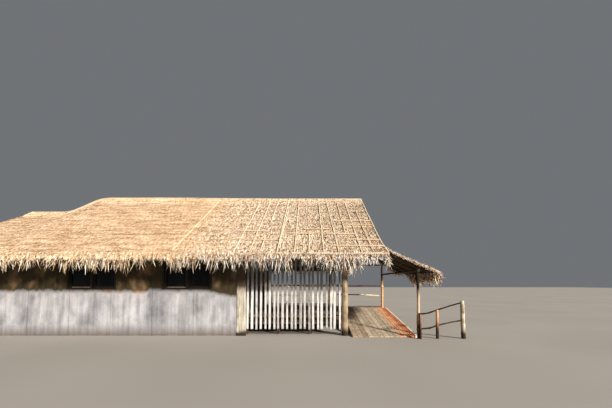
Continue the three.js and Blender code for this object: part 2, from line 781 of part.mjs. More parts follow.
function buildFence() {
  const y = PORCH_FRONT[1];
  const pieces = FENCE_POSTS.map(({ x, top, radius }) =>
    pole([x, y, 0], [x, y, top], radius + FENCE_POST_FLARE, radius),
  );
  for (const [z0, z1, z2] of FENCE_RAILS) {
    const [near, far] = FENCE_POSTS.map((post) => post.x);
    const swell = PORCH_FRONT_FLARE * (1 - z0 / PORCH_FRONT_BENDS[0][2]);
    const postSide = PORCH_FRONT[0] + PORCH_FRONT_RADIUS + swell;
    const lean = FENCE_RAIL_RADIUS * Math.sin(Math.atan2(z1 - z0, near - postSide));
    const x0 = postSide + lean;
    pieces.push(pole([x0, y, z0], [near, y, z1], FENCE_RAIL_RADIUS));
    pieces.push(pole([near, y, z1], [far, y, z2], FENCE_RAIL_RADIUS));
  }
  add("entry_fence", fuse(pieces), greyTimber);
}

buildWalls();
buildDoorFrame();
buildWindows();
buildVerandaPosts();
buildDeck();
buildSlatScreen();
buildBackRailing();
buildPlates();
buildRidgePole();
buildTrusses();
buildThatch();
buildRidgeCap();
buildLanding();
buildRamp();
buildLandingRailing();
buildCanopy();
buildPorch();
buildFence();

export default cabin;
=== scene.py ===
"""Thatched cabin with a slatted veranda: the looks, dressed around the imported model.

Every length is in metres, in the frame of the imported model: +X runs along the ridge to the
veranda end, -Y is the front, and the ground is at height 0.
"""

import logging
import math
from dataclasses import dataclass, field
from enum import Enum
from functools import cached_property, partial
from typing import Any, ClassVar, Iterable, Sequence

import bmesh
import bpy
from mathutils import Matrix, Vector, noise
from mathutils.bvhtree import BVHTree


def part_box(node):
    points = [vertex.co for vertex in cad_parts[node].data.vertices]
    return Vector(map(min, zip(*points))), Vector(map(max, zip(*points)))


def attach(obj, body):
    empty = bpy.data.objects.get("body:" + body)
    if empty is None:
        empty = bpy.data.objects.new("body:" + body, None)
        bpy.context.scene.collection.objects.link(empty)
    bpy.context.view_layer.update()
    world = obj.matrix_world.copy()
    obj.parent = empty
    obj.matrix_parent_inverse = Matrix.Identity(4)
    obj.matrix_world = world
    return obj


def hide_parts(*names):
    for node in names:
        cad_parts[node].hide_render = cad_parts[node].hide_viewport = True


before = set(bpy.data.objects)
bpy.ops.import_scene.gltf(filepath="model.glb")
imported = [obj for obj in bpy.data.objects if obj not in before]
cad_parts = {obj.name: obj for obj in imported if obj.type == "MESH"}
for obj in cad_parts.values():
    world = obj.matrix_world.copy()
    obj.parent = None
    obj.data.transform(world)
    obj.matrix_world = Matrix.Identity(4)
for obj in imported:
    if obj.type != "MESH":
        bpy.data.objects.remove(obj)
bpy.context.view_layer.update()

LOG = logging.getLogger("cabin")
ROOT = "root"
Point = Sequence[float]
Socket = bpy.types.NodeSocket
#: A pole: its points, its radius at the start and its radius at the end
Pole = tuple[Sequence[Point], float, float]
ZERO = (0.0, 0.0, 0.0)


# Named choices


class Side(Enum):
    """The front of the cabin, which the photograph shows, or its back."""

    FRONT = -1
    BACK = 1

    @property
    def word(self) -> str:
        """The word that node names use for this side."""
        return self.name.lower()


class Grain(Enum):
    """The axis that a timber's grain runs along, as the noise scale on each axis."""

    ALONG_X = (0.06, 1.0, 1.0)
    ALONG_Y = (1.0, 0.06, 1.0)
    ALONG_Z = (1.0, 1.0, 0.06)


class Slot(Enum):
    """The record's material slots."""

    THATCH = "thatch"
    BAMBOO = "bamboo"
    GLASS = "glass"
    CREAM = "cream_paint"
    DARK = "dark_timber"
    GREY = "grey_timber"
    PALE = "pale_timber"
    RED = "red_timber"


class Node(Enum):
    """The nodes in use: Blender's type, then a setting and its value where it needs one."""

    ADD = "ShaderNodeMath operation ADD"
    MINUS = "ShaderNodeMath operation SUBTRACT"
    TIMES = "ShaderNodeMath operation MULTIPLY"
    TIMES_ADD = "ShaderNodeMath operation MULTIPLY_ADD"
    DIVIDE = "ShaderNodeMath operation DIVIDE"
    ABSOLUTE = "ShaderNodeMath operation ABSOLUTE"
    FRACTION = "ShaderNodeMath operation FRACT"
    PINGPONG = "ShaderNodeMath operation PINGPONG"
    MINIMUM = "ShaderNodeMath operation MINIMUM"
    MAXIMUM = "ShaderNodeMath operation MAXIMUM"
    BELOW = "ShaderNodeMath operation LESS_THAN"
    V_ADD = "ShaderNodeVectorMath operation ADD"
    V_MINUS = "ShaderNodeVectorMath operation SUBTRACT"
    V_TIMES = "ShaderNodeVectorMath operation MULTIPLY"
    V_SCALE = "ShaderNodeVectorMath operation SCALE"
    V_UNIT = "ShaderNodeVectorMath operation NORMALIZE"
    V_DOT = "ShaderNodeVectorMath operation DOT_PRODUCT"
    SPLIT = "ShaderNodeSeparateXYZ"
    JOIN = "ShaderNodeCombineXYZ"
    REMAP = "ShaderNodeMapRange"
    NOISE = "ShaderNodeTexNoise"
    COORDINATES = "ShaderNodeTexCoord"
    SURFACE = "ShaderNodeNewGeometry"
    MAPPING = "ShaderNodeMapping"
    ATTRIBUTE = "ShaderNodeAttribute"
    RAMP = "ShaderNodeValToRGB"
    MIX = "ShaderNodeMix data_type RGBA"
    BUMP = "ShaderNodeBump"
    ENTRY = "NodeGroupInput"
    RESULT = "NodeGroupOutput"
    REALIZE = "GeometryNodeRealizeInstances"
    SET_MATERIAL = "GeometryNodeSetMaterial"
    ISLAND = "GeometryNodeInputMeshIsland"
    POSITION = "GeometryNodeInputPosition"
    RADIUS = "GeometryNodeInputRadius"
    RANDOM = "FunctionNodeRandomValue"
    RANDOM_VECTOR = "FunctionNodeRandomValue data_type FLOAT_VECTOR"
    STORE = "GeometryNodeStoreNamedAttribute"
    STORE_VECTOR = "GeometryNodeStoreNamedAttribute data_type FLOAT_VECTOR"
    STORE_FLAG = "GeometryNodeStoreNamedAttribute data_type BOOLEAN"
    READ_VECTOR = "GeometryNodeInputNamedAttribute data_type FLOAT_VECTOR"
    READ_FLAG = "GeometryNodeInputNamedAttribute data_type BOOLEAN"
    GRID = "GeometryNodeMeshGrid"
    LINE = "GeometryNodeMeshLine"
    RING = "GeometryNodeMeshCircle"
    CONE = "GeometryNodeMeshCone"
    CUBE = "GeometryNodeMeshCube"
    CIRCLE = "GeometryNodeCurvePrimitiveCircle"
    RAY = "GeometryNodeRaycast"
    MOVE = "GeometryNodeSetPosition"
    DELETE = "GeometryNodeDeleteGeometry"
    TRANSFORM = "GeometryNodeTransform"
    INSTANCE = "GeometryNodeInstanceOnPoints"
    AIM = "FunctionNodeAlignRotationToVector axis Z"
    EULER = "FunctionNodeEulerToRotation"
    TURN = "FunctionNodeRotateRotation rotation_space LOCAL"
    RESAMPLE = "GeometryNodeResampleCurve mode LENGTH"
    SPLINE = "GeometryNodeSplineParameter"
    SET_RADIUS = "GeometryNodeSetCurveRadius"
    SWEEP = "GeometryNodeCurveToMesh"


# Colours and nodes


def linear(colour: str) -> tuple[float, float, float, float]:
    """Turn an sRGB hex colour into linear red, green and blue, and an alpha of 1."""
    parts = [int(colour[start : start + 2], 16) / 255.0 for start in (1, 3, 5)]
    return (*(p / 12.92 if p <= 0.04045 else ((p + 0.055) / 1.055) ** 2.4 for p in parts), 1.0)


def stops(colours: str, spread: float = 0.2) -> list[tuple[float, Point]]:
    """Set hex colours evenly about the middle of a ramp, the end ones as far from it as the spread."""
    words = colours.split()
    return [(0.5 - spread + 2 * spread * i / (len(words) - 1), linear(c)) for i, c in enumerate(words)]


def add_node(tree: bpy.types.NodeTree, kind: Node, *values: Any, **settings: Any) -> Socket:
    """Add a node with its settings and links.

    Args:
        tree: The tree that takes the node.
        kind: Its kind.
        *values: A socket, a value or a hex colour for each input in use, in order. None skips one.
        **settings: The stops of a ramp, out for the output to return where it isn't the first, or
            an attribute of the node.

    Returns:
        The socket of the output. Its node has the others.
    """
    type_name, *choice = kind.value.split()
    made = tree.nodes.new(type_name)
    if choice:
        setattr(made, *choice)
    for i, (position, colour) in enumerate(settings.pop("stops", ())):
        if i > 1:
            made.color_ramp.elements.new(1.0)
        made.color_ramp.elements[i].position, made.color_ramp.elements[i].color = position, colour
    out = settings.pop("out", None)
    for name, value in settings.items():
        setattr(made, name, value)
    for socket, value in zip([s for s in made.inputs if s.enabled], values):
        if isinstance(value, Socket):
            tree.links.new(value, socket)
        elif value is not None:
            socket.default_value = linear(value) if str(value).startswith("#") else value
    return made.outputs[out] if out else next((s for s in made.outputs if s.enabled), None)


# Finishes


class Shading:
    """A material in the making, read from Object coordinates."""

    def __init__(self, name: str, roughness: float) -> None:
        """Make the material, its shader and its coordinates.

        Args:
            name: The material's name.
            roughness: How matt it is, from 0 to 1.
        """
        self.material = bpy.data.materials.new(name)
        self.material.use_nodes = True
        self.tree = self.material.node_tree
        self.shader = self.tree.nodes["Principled BSDF"].inputs
        self.shader["Roughness"].default_value = roughness
        self.add = partial(add_node, self.tree)
        self.where = self.add(Node.COORDINATES, out="Object")
        self.along, self.across, self.high = self.add(Node.SPLIT, self.where).node.outputs

    def pattern(self, size_mm: float, scale: Point = (1.0, 1.0, 1.0), detail: float = 4.0) -> Socket:
        """Lay a cloudy pattern with features of a real size, repeated more or less often on each axis."""
        stretched = self.add(Node.MAPPING, self.where, None, None, scale)
        return self.add(Node.NOISE, stretched, 1000.0 / size_mm, detail)

    def blend(self, *parts: tuple[Socket, float]) -> Socket:
        """Add up patterns by their shares.

        Args:
            *parts: The socket and the share of each pattern.

        Returns:
            The sum's socket.
        """
        total = 0.0
        for socket, share in parts:
            total = self.add(Node.TIMES_ADD, socket, share, total)
        return total

    def finish(
        self, colour: Socket, height: Socket | None = None, depth: float = 0.0, specular: float = 0.5
    ) -> bpy.types.Material:
        """Join the colour, the relief and the gloss to the shader.

        Args:
            colour: The colour's socket.
            height: The relief's socket, where there is relief.
            depth: How deep the relief is.
            specular: The strength of the gloss.

        Returns:
            The finished material.
        """
        self.shader["Specular IOR Level"].default_value = specular
        self.tree.links.new(colour, self.shader["Base Color"])
        if height is not None:
            relief = self.add(Node.BUMP, 1.0, depth, None, height)
            self.tree.links.new(relief, self.shader["Normal"])
        return self.material


@dataclass(frozen=True)
class Finish:
    """A finish: its name, its colours from dark to light, how matt it is and its slot."""

    name: str
    colours: str
    roughness: float
    #: None where only CAD nodes or the floor wear it
    slot: Slot | None


@dataclass(frozen=True)
class CloudFinish(Finish):
    """A plain coat with clouds of its colours."""

    size_mm: float = 4000.0
    detail: float = 1.0
    depth: float = 0.0

    def build(self) -> bpy.types.Material:
        """Make the material.

        Returns:
            The material.
        """
        shade = Shading(self.name, self.roughness)
        cloud = shade.pattern(self.size_mm, detail=self.detail)
        colour = shade.add(Node.RAMP, cloud, stops=stops(self.colours))
        return shade.finish(colour, cloud if self.depth else None, self.depth)


@dataclass(frozen=True)
class ThatchFinish(Finish):
    """Dry cogon grass: matt straw in courses, newer and browner at one end, with painted shade on the packed
    layer's underside.
    """

    slot: Slot = Slot.THATCH
    stems: Point = (1.0, 0.12, 0.12)
    streaks: Point = (0.16, 1.0, 1.0)
    by_blade: bool = True
    over_x: bool = False
    course: float = 0.34
    course_dark: float = 0.45
    course_shadow: str = "#8a6240"
    #: Where along the ridge the newer grass begins and where there is nothing else
    newer: tuple[float, float] = (0.9, 3.6)
    newer_brown: str = "#c9a48e"
    # The colour of the painted shade on faces that look down
    smoke: str = "#1c130b"

    def build(self) -> bpy.types.Material:
        """Make the material.

        Returns:
            The material. It reads the attribute tint of each blade where by_blade is set.
        """
        shade = Shading(self.name, self.roughness)
        add = shade.add
        stem = shade.pattern(24.0, self.stems)
        speck = shade.pattern(62.0, detail=2.0)
        patch = shade.pattern(800.0, detail=3.0)
        # Trimmed courses show as streaks along the ridge, a few metres long.
        streak = shade.pattern(95.0, self.streaks, 2.0)
        if self.by_blade:
            tint = add(Node.ATTRIBUTE, out="Fac", attribute_name="tint")
            factor = shade.blend((stem, 0.15), (speck, 0.28), (patch, 0.1), (streak, 0.3), (tint, 0.17))
            loose = shade.blend((speck, 0.55), (stem, 0.2), (tint, 0.25))
        else:
            factor = shade.blend((stem, 0.2), (speck, 0.2), (patch, 0.2), (streak, 0.4))
            loose = shade.blend((speck, 0.6), (stem, 0.4))
        # The end bays over the veranda have newer, looser grass, with more contrast.
        newer = add(Node.REMAP, shade.along, *self.newer, 0.0, 1.0)
        middle = add(Node.REMAP, shade.along, 1.0, 6.0, 0.45, 0.56)
        loose = add(Node.TIMES_ADD, add(Node.MINUS, loose, 0.47), 2.8, middle)
        factor = add(Node.TIMES_ADD, newer, add(Node.MINUS, loose, factor), factor)
        colour = add(Node.RAMP, factor, stops=stops(self.colours, 0.17))
        brown = add(Node.TIMES, newer, add(Node.REMAP, patch, 0.46, 0.64, 0.0, 0.3))
        colour = add(Node.MIX, brown, colour, self.newer_brown)
        # Each course ends in a thin shadow, broken up by noise.
        out = add(Node.ABSOLUTE, shade.along if self.over_x else shade.across)
        drift = add(Node.TIMES, shade.pattern(260.0, (1.0, 0.3, 0.3), 2.0), 0.5)
        broken = add(Node.REMAP, speck, 0.38, 0.58, 1.4, 0.3)
        for share in (1.0, 0.5):
            step = add(Node.FRACTION, add(Node.ADD, add(Node.DIVIDE, out, self.course * share), drift))
            line = add(Node.REMAP, step, 0.0, 0.3, self.course_dark * share, 0.0)
            colour = add(Node.MIX, add(Node.TIMES, line, broken), colour, self.course_shadow)
        if not self.by_blade:
            # Painted shade darkens the faces that look down.
            facing = add(Node.SPLIT, add(Node.SURFACE, out="Normal"), out="Z")
            colour = add(Node.MIX, add(Node.REMAP, facing, -0.2, -0.5, 0.0, 0.95), colour, self.smoke)
        return shade.finish(colour, shade.blend((stem, 0.5), (speck, 0.5)), 0.018, 0.15)


@dataclass(frozen=True)
class LeafFinish(ThatchFinish):
    """Hanging leaves of the same grass: streaked down their length, in no courses."""

    stems: Point = (1.0, 1.0, 0.12)
    streaks: Point = (1.0, 1.0, 0.3)
    course_dark: float = 0.0


@dataclass(frozen=True)
class TimberFinish(Finish):
    """Weathered wood: grain lines, grey patches, fine checks, a darker foot where it stands, and painted
    shade above a height.
    """

    grain: Grain
    grain_mm: float
    by_board: bool = True
    patches: float = 0.35
    checks: float = 0.75
    check_colour: str = "#33281d"
    #: : The height up to which the wood darkens towards its foot, and that colour
    foot: float = 0.0
    foot_colour: str = "#2c2118"
    #: : The height above which painted shade darkens the wood where a roof shades it, over how much height
    #: : the change comes, and the colour of that painted shade
    shelter: float = 0.0
    shelter_fade: float = 0.25
    shelter_colour: str = "#4b3f2f"

    def build(self) -> bpy.types.Material:
        """Make the material.

        Returns:
            The material. It reads the attribute tint of each board where by_board is set.
        """
        shade = Shading(self.name, self.roughness)
        add = shade.add
        line = shade.pattern(self.grain_mm, self.grain.value, 6.0)
        patch = shade.pattern(170.0)
        factor = shade.blend((line, 1.0 - self.patches), (patch, self.patches))
        if self.by_board:
            tint = add(Node.ATTRIBUTE, out="Fac", attribute_name="tint")
            factor = add(Node.TIMES_ADD, add(Node.MINUS, tint, 0.5), 0.22, factor)
        colour = add(Node.RAMP, factor, stops=stops(self.colours, 0.17))
        check = shade.pattern(self.grain_mm * 2.2, self.grain.value, 2.0)
        colour = add(Node.MIX, add(Node.REMAP, check, 0.36, 0.3, 0.0, self.checks), colour, self.check_colour)
        # Painted shade: the wood darkens above a height, where a roof or the canopy shades it.
        if self.shelter:
            high = add(Node.TIMES_ADD, line, 0.3, shade.high)
            painted_shade_mix = add(Node.REMAP, high, self.shelter, self.shelter + self.shelter_fade, 0.0, 0.99)
            colour = add(Node.MIX, painted_shade_mix, colour, self.shelter_colour)
        # The wood darkens towards its foot.
        if self.foot:
            darker_low = add(Node.TIMES_ADD, patch, -self.foot, shade.high)
            darker_low = add(Node.REMAP, darker_low, -0.05, self.foot * 0.35, 0.96, 0.0)
            colour = add(Node.MIX, darker_low, colour, self.foot_colour)
        return shade.finish(colour, shade.blend((line, 0.6), (check, 0.4)), 0.004, 0.3)


@dataclass(frozen=True)
class PlasterFinish(Finish):
    """Mud plaster, limewashed low down, with the bare mud above darkened as painted shade from the eave:
    trowel waves, runs, and a seam at each wall panel.
    """

    # The bare mud's colours, dark enough to serve as painted shade under the eave
    mud: str = "#2b2418 #413826 #584d38"
    # The height where the wash ends and the painted shade begins
    wash_and_shade_edge: float = 1.42
    #: : Where along the wall the wash's edge, which is also the painted shadow's edge, starts to dip by the
    #: wide posts, and where it is lowest
    shadow_dip: tuple[float, float] = (1.7, 2.5)
    ochre: str = "#b98f6c"
    splash: float = 0.32
    splash_colour: str = "#5b4b38"
    seam_pitch: float = 1.32
    seam_width: float = 0.014
    seam_colour: str = "#4a4236"

    def build(self) -> bpy.types.Material:
        """Make the material.

        Returns:
            The material.
        """
        shade = Shading(self.name, self.roughness)
        add = shade.add
        patch = shade.pattern(380.0, (1.0, 1.0, 0.7), 6.0)
        grit = shade.pattern(24.0, detail=5.0)
        run = shade.pattern(110.0, (1.0, 1.0, 0.07), 3.0)
        cloud = shade.blend((patch, 0.5), (grit, 0.2), (run, 0.3))
        wash, mud = (add(Node.RAMP, cloud, stops=stops(c, 0.16)) for c in (self.colours, self.mud))
        # The wash ends in an uneven line, which is also the edge of the eave's painted shadow: above it the
        # bare mud is dark, as painted shade.
        uneven = add(Node.MINUS, shade.blend((run, 0.35), (patch, 0.65)), 0.5)
        edge = add(Node.ADD, add(Node.TIMES_ADD, uneven, 0.4, shade.high),
                   add(Node.REMAP, shade.along, *self.shadow_dip, 0.0, 0.16))
        bare = add(Node.REMAP, edge, self.wash_and_shade_edge - 0.07, self.wash_and_shade_edge + 0.05, 0.0, 1.0)
        colour = add(Node.MIX, bare, wash, mud)
        # Ochre shows through the wash in places below the windows.
        ochre = add(Node.TIMES, add(Node.REMAP, patch, 0.54, 0.68, 0.0, 0.25),
                    add(Node.REMAP, shade.high, 0.9, 1.4, 0.0, 1.0))
        colour = add(Node.MIX, ochre, colour, self.ochre)
        # Rain splashes earth up the foot.
        low = add(Node.TIMES_ADD, patch, -0.35, shade.high)
        low = add(Node.REMAP, low, -0.15, self.splash * 0.5, 0.7, 0.0)
        colour = add(Node.MIX, low, colour, self.splash_colour)
        bay = add(Node.PINGPONG, shade.along, self.seam_pitch / 2)
        seam = add(Node.REMAP, bay, 0.0, self.seam_width, 0.35, 0.0)
        colour = add(Node.MIX, seam, colour, self.seam_colour)
        return shade.finish(colour, add(Node.MINUS, cloud, seam), 0.016, 0.2)


@dataclass(frozen=True)
class GlassFinish(Finish):
    """Float glass over a dark room, with dust on its lower part."""

    ior: float = 1.45

    def build(self) -> bpy.types.Material:
        """Make the material.

        Returns:
            The material.
        """
        shade = Shading(self.name, self.roughness)
        shade.shader["IOR"].default_value = self.ior
        dust = shade.add(Node.ADD, shade.pattern(240.0, (1.0, 1.0, 0.5), 3.0),
                         shade.add(Node.REMAP, shade.high, 1.45, 2.1, 0.12, -0.1))
        return shade.finish(shade.add(Node.RAMP, dust, stops=stops(self.colours)), specular=0.22)


class Coat(Enum):
    """The finishes of the cabin, each from what the real one is."""

    # Cogon grass, laid dry and trimmed: matt, each blade its own straw or brown
    BLADES = ThatchFinish("thatch_grass_blades", "#543926 #cbab8a #ecd5b8 #fff3e0", 0.8)
    # The cut ends of the courses: pale, lighter as a painted highlight where the sun falls on them
    EAVE = LeafFinish("thatch_eave_leaf", "#86643f #f0d3ad #fdecd2 #fffaf2", 0.75)
    # Grass bent over the ridge: the most bleached, and paler still as a painted highlight along the ridge
    RIDGE = ThatchFinish("thatch_ridge_grass", "#7c5d3e #e8cba2 #fbe9cd #fff8ec", 0.8)
    # Long leaves that hang clear of the eave: bright tips, the rest darkened nearly to black as painted shade
    # in the gaps
    SKIRT = LeafFinish("thatch_skirt_leaf", "#1d150d #b0916b #fbf0dc #fffdf8", 0.75)
    # The imported layer under the blades: dull, with painted shade on its underside
    PACKED = ThatchFinish("thatch_packed_grass", "#5c422c #b8956d #e4c8a2 #f5e2c2", 0.9, by_blade=False)
    # Loose leaves and cut ends along the verges: straw, a little glossy
    FRINGE = LeafFinish("thatch_hanging_leaf", "#5c4730 #d2b68e #f8ebd2 #fffbf4", 0.75)
    # The canopy's young grass: pinkish straw, combed outwards
    CANOPY_BLADES = ThatchFinish(
        "thatch_canopy_grass", "#98755a #e6c8a8 #fae6d0 #fffaf2", 0.8, stems=(0.12, 1.0, 0.12),
        streaks=(1.0, 0.1, 1.0), over_x=True)
    # Its hanging leaves: nearly black, as painted shade from their own lip, with a few pale ones
    CANOPY_FRINGE = LeafFinish("thatch_canopy_leaf", "#140d07 #46351f #967b58 #fde9cc", 0.8)
    # Mud plaster under limewash, floated by hand: matt and bluish white, and dark brown where it is bare,
    # which also serves as painted shade under the eave
    PLASTER = PlasterFinish("wall_mud_plaster", "#7f8087 #b0b1b7 #dcdde3", 0.92, None)
    # Cement floated smooth: pale, matt and cloudy
    CEMENT = CloudFinish("floor_floated_cement", "#7d776b #9b9588 #b5afa2", 0.9, None, 300.0, 8.0, 0.004)
    # Float glass before an unlit room: black, with soft reflections
    GLASS = GlassFinish("window_float_glass", "#030404 #06080a #11171b", 0.16, None)
    # Polythene film, crumpled: pale blue with small highlights
    FILM = CloudFinish(
        "underlay_polythene_film", "#7f93ad #b4c2d6 #e6ebf2", 0.35, Slot.GLASS, 60.0, 3.0, 0.01)
    # Split bamboo, new: cream with a slight gloss
    BATTEN = TimberFinish(
        "batten_split_bamboo", "#dcc39a #f8e8c8 #fff8e8", 0.6, Slot.BAMBOO, Grain.ALONG_Y, 22.0)
    # Whole bamboo: a glossy orange skin, with painted shade on its upper part under the roof
    BAMBOO = TimberFinish(
        "post_round_bamboo", "#c9975f #ffd09b #fff0d4", 0.45, Slot.BAMBOO, Grain.ALONG_Z, 24.0,
        checks=0.3, shelter=1.72, shelter_colour="#33241a")
    # Round poles under the grass: dark brown, as painted shade under the roof
    POLES = TimberFinish(
        "roof_poles_painted_shade", "#241911 #4a3726 #6f573d", 0.8, Slot.BAMBOO, Grain.ALONG_Y, 20.0)
    # Trunks with some bark left: grey brown and rough
    POSTS = TimberFinish(
        "post_barked_trunk", "#594838 #937f67 #c6b498", 0.9, Slot.GREY, Grain.ALONG_Z, 30.0,
        foot=0.35, patches=0.5)
    # A trunk, paler as painted sunlight up to the height that the eave shades, then black as painted shade
    BACK_POSTS = TimberFinish(
        "post_dry_trunk", "#9c8d70 #dcd3ae #f6f1d8", 0.9, Slot.GREY, Grain.ALONG_Z, 30.0,
        foot=0.35, patches=0.5, shelter=1.3, shelter_fade=0.4, shelter_colour="#1a1410")
    # A stripped trunk: bleached, with grey blotches
    BLEACHED_POST = TimberFinish(
        "post_bleached_trunk", "#85745e #e0d6c0 #fffaf0", 0.85, Slot.PALE, Grain.ALONG_Z, 34.0,
        foot=0.4, patches=0.6)
    # Squared timber under limewash: off-white, brown as painted shade under the eave
    WIDE_POSTS = TimberFinish(
        "post_limed_timber", "#8d8069 #c6c0b0 #ebe7dc", 0.85, Slot.PALE, Grain.ALONG_Z, 40.0,
        by_board=False, foot=0.25, patches=0.3, shelter=1.5)
    # A peeled trunk: smooth and peach, darker towards its foot, and nearly black under the canopy as painted
    # shade
    PORCH_POST = TimberFinish(
        "post_peeled_trunk", "#8f7358 #d3b998 #f6e3ca", 0.85, Slot.GREY, Grain.ALONG_Z, 30.0,
        foot=0.95, patches=0.2, checks=0.3, shelter=1.4, shelter_colour="#0e0a07")
    # Heartwood without its bark: brick red to orange
    RED_POST = TimberFinish(
        "post_red_heartwood", "#8a523a #cf9370 #f0c09c", 0.8, Slot.RED, Grain.ALONG_Z, 24.0,
        foot=0.75, patches=0.45)
    # Sawn slats bleached by the sun: nearly white, greyer as painted shade where the eave shades them
    SLATS = TimberFinish(
        "screen_bleached_slats", "#8f8e8c #dadada #fbfbfb", 0.8, Slot.PALE, Grain.ALONG_Z, 12.0,
        foot=0.3, shelter=1.52, shelter_fade=0.08, shelter_colour="#80807f")
    # Trodden boards: grey brown, darker than the ramp's as painted shade
    DECK = TimberFinish("deck_grey_boards", "#574b3f #877766 #ac9d8a", 0.85, Slot.GREY, Grain.ALONG_Y, 14.0)
    # Trodden planks: light grey brown, lighter as painted sunlight
    GREY_PLANK = TimberFinish(
        "ramp_grey_planks", "#8d7c68 #bdab93 #ddcfb9", 0.85, Slot.GREY, Grain.ALONG_Y, 14.0)
    # New planks of red wood: saturated orange red
    RED_PLANK = TimberFinish(
        "ramp_red_planks", "#a5532f #dd8659 #fbbd90", 0.75, Slot.RED, Grain.ALONG_Y, 16.0, checks=0.3)
    # The same wood, worn: peach
    PEACH_PLANK = TimberFinish(
        "ramp_peach_planks", "#c88a62 #f0b88e #ffe4c6", 0.75, Slot.RED, Grain.ALONG_Y, 16.0, checks=0.3)
    # Peeled rails: deep red brown
    RED_RAIL = TimberFinish("rail_red_poles", "#3c1f14 #643726 #94603f", 0.75, Slot.RED, Grain.ALONG_X, 24.0)
    # One rail bleached by the sun: straw yellow
    PALE_RAIL = TimberFinish(
        "rail_bleached_pole", "#b9a273 #ecd8a9 #fff4d4", 0.75, Slot.RED, Grain.ALONG_X, 24.0)
    # Branches with their bark: dark brown
    BRANCH = TimberFinish(
        "fence_dark_branches", "#1d130d #3a281c #664b38", 0.85, Slot.GREY, Grain.ALONG_X, 20.0)
    # Oil paint on a sawn board: cream, even, with a slight gloss
    KERB = TimberFinish(
        "kerb_cream_paint", "#dcc39a #f8e6c6 #fff8ea", 0.6, Slot.CREAM, Grain.ALONG_Y, 40.0,
        by_board=False, checks=0.3)
    # Stained frames: nearly black, satin
    FRAMES = TimberFinish(
        "frame_dark_stain", "#0e0a07 #1d1610 #33281d", 0.65, Slot.DARK, Grain.ALONG_X, 12.0, by_board=False)
    # A weather bar that lost its stain: grey brown
    BARE_RAIL = TimberFinish(
        "sash_bare_timber", "#4f4238 #7a6b5c #9c8d7c", 0.8, Slot.DARK, Grain.ALONG_X, 14.0, by_board=False)
    # The studio's floor paint: an even pale grey
    FLOOR = CloudFinish("studio_floor_paint", "#b0aca6 #b4b0aa #b8b4ae", 0.9, None)

    @cached_property
    def material(self) -> bpy.types.Material:
        """The finish as a material, made when it is first asked for."""
        return self.value.build()


# Pieces


def dress(thing: bpy.types.Object, coat: Coat, *nodes: str, slot: Slot | None = None) -> bpy.types.Object:
    """Give a piece its material and its body, and hide the CAD nodes that it stands for.

    Args:
        thing: The finished piece.
        coat: Its finish.
        *nodes: The CAD nodes that it replaces.
        slot: Not used.

    Returns:
        The same piece.
    """
    thing.data.materials.clear()
    thing.data.materials.append(coat.material)
    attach(thing, ROOT)
    if nodes:
        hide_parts(*nodes)
    LOG.info("%s: %d faces", thing.name, len(thing.data.polygons))
    return thing


def dress_nodes(coat: Coat, *nodes: str) -> None:
    """Put a finish on CAD nodes that stay as they are.

    Args:
        coat: The finish.
        *nodes: The nodes' names.
    """
    for name in nodes:
        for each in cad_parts[name].material_slots:
            each.material = coat.material
        LOG.info("%s: finished as %s", name, coat.material.name)


def place(name: str, data: bpy.types.ID) -> bpy.types.Object:
    """Link a mesh, a curve, a camera or a lamp to the scene as an object at the origin.

    Args:
        name: The object's name.
        data: What the object holds.

    Returns:
        The object.
    """
    thing = bpy.data.objects.new(name, data)
    bpy.context.scene.collection.objects.link(thing)
    return thing


def loft(name: str, rings: list[list[Point]], capped: bool = True) -> bpy.types.Object:
    """Make a closed piece through like rings, with its faces outwards.

    Args:
        name: The piece's name.
        rings: Rings of points, each closed on itself.
        capped: Whether a face closes each end. Otherwise the last ring joins the first.

    Returns:
        The piece.
    """
    count, total = len(rings[0]), len(rings) * len(rings[0])
    faces = []
    for start in range(0, total - count if capped else total, count):
        for i in range(count):
            a, b = start + i, start + (i + 1) % count
            faces.append((a, b, (b + count) % total, (a + count) % total))
    if capped:
        faces += [tuple(reversed(range(count))), tuple(range(total - count, total))]
    mesh = bpy.data.meshes.new(name)
    mesh.from_pydata([point for ring in rings for point in ring], [], faces)
    work = bmesh.new()
    work.from_mesh(mesh)
    bmesh.ops.recalc_face_normals(work, faces=work.faces)
    work.to_mesh(mesh)
    work.free()
    return place(name, mesh)


def round_off(thing: bpy.types.Object) -> None:
    """Shade the sides of a round piece smooth, and leave its ends flat."""
    for face in thing.data.polygons:
        face.use_smooth = len(face.vertices) == 4


def between(first: float, last: float, steps: int) -> list[float]:
    """List evenly set values from the first to the last."""
    return [first + (last - first) * i / steps for i in range(steps + 1)]


def waver(x: float, y: float, z: float) -> float:
    """Give the noise, from -1 to 1, at a place."""
    return noise.noise(Vector((x, y, z)))


def centre(node: str) -> tuple[Vector, Vector, Vector]:
    """Give the low corner, the high corner and the middle of a CAD node's box."""
    low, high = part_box(node)
    return low, high, (low + high) / 2


# Geometry Nodes: one class for each way that pieces repeat


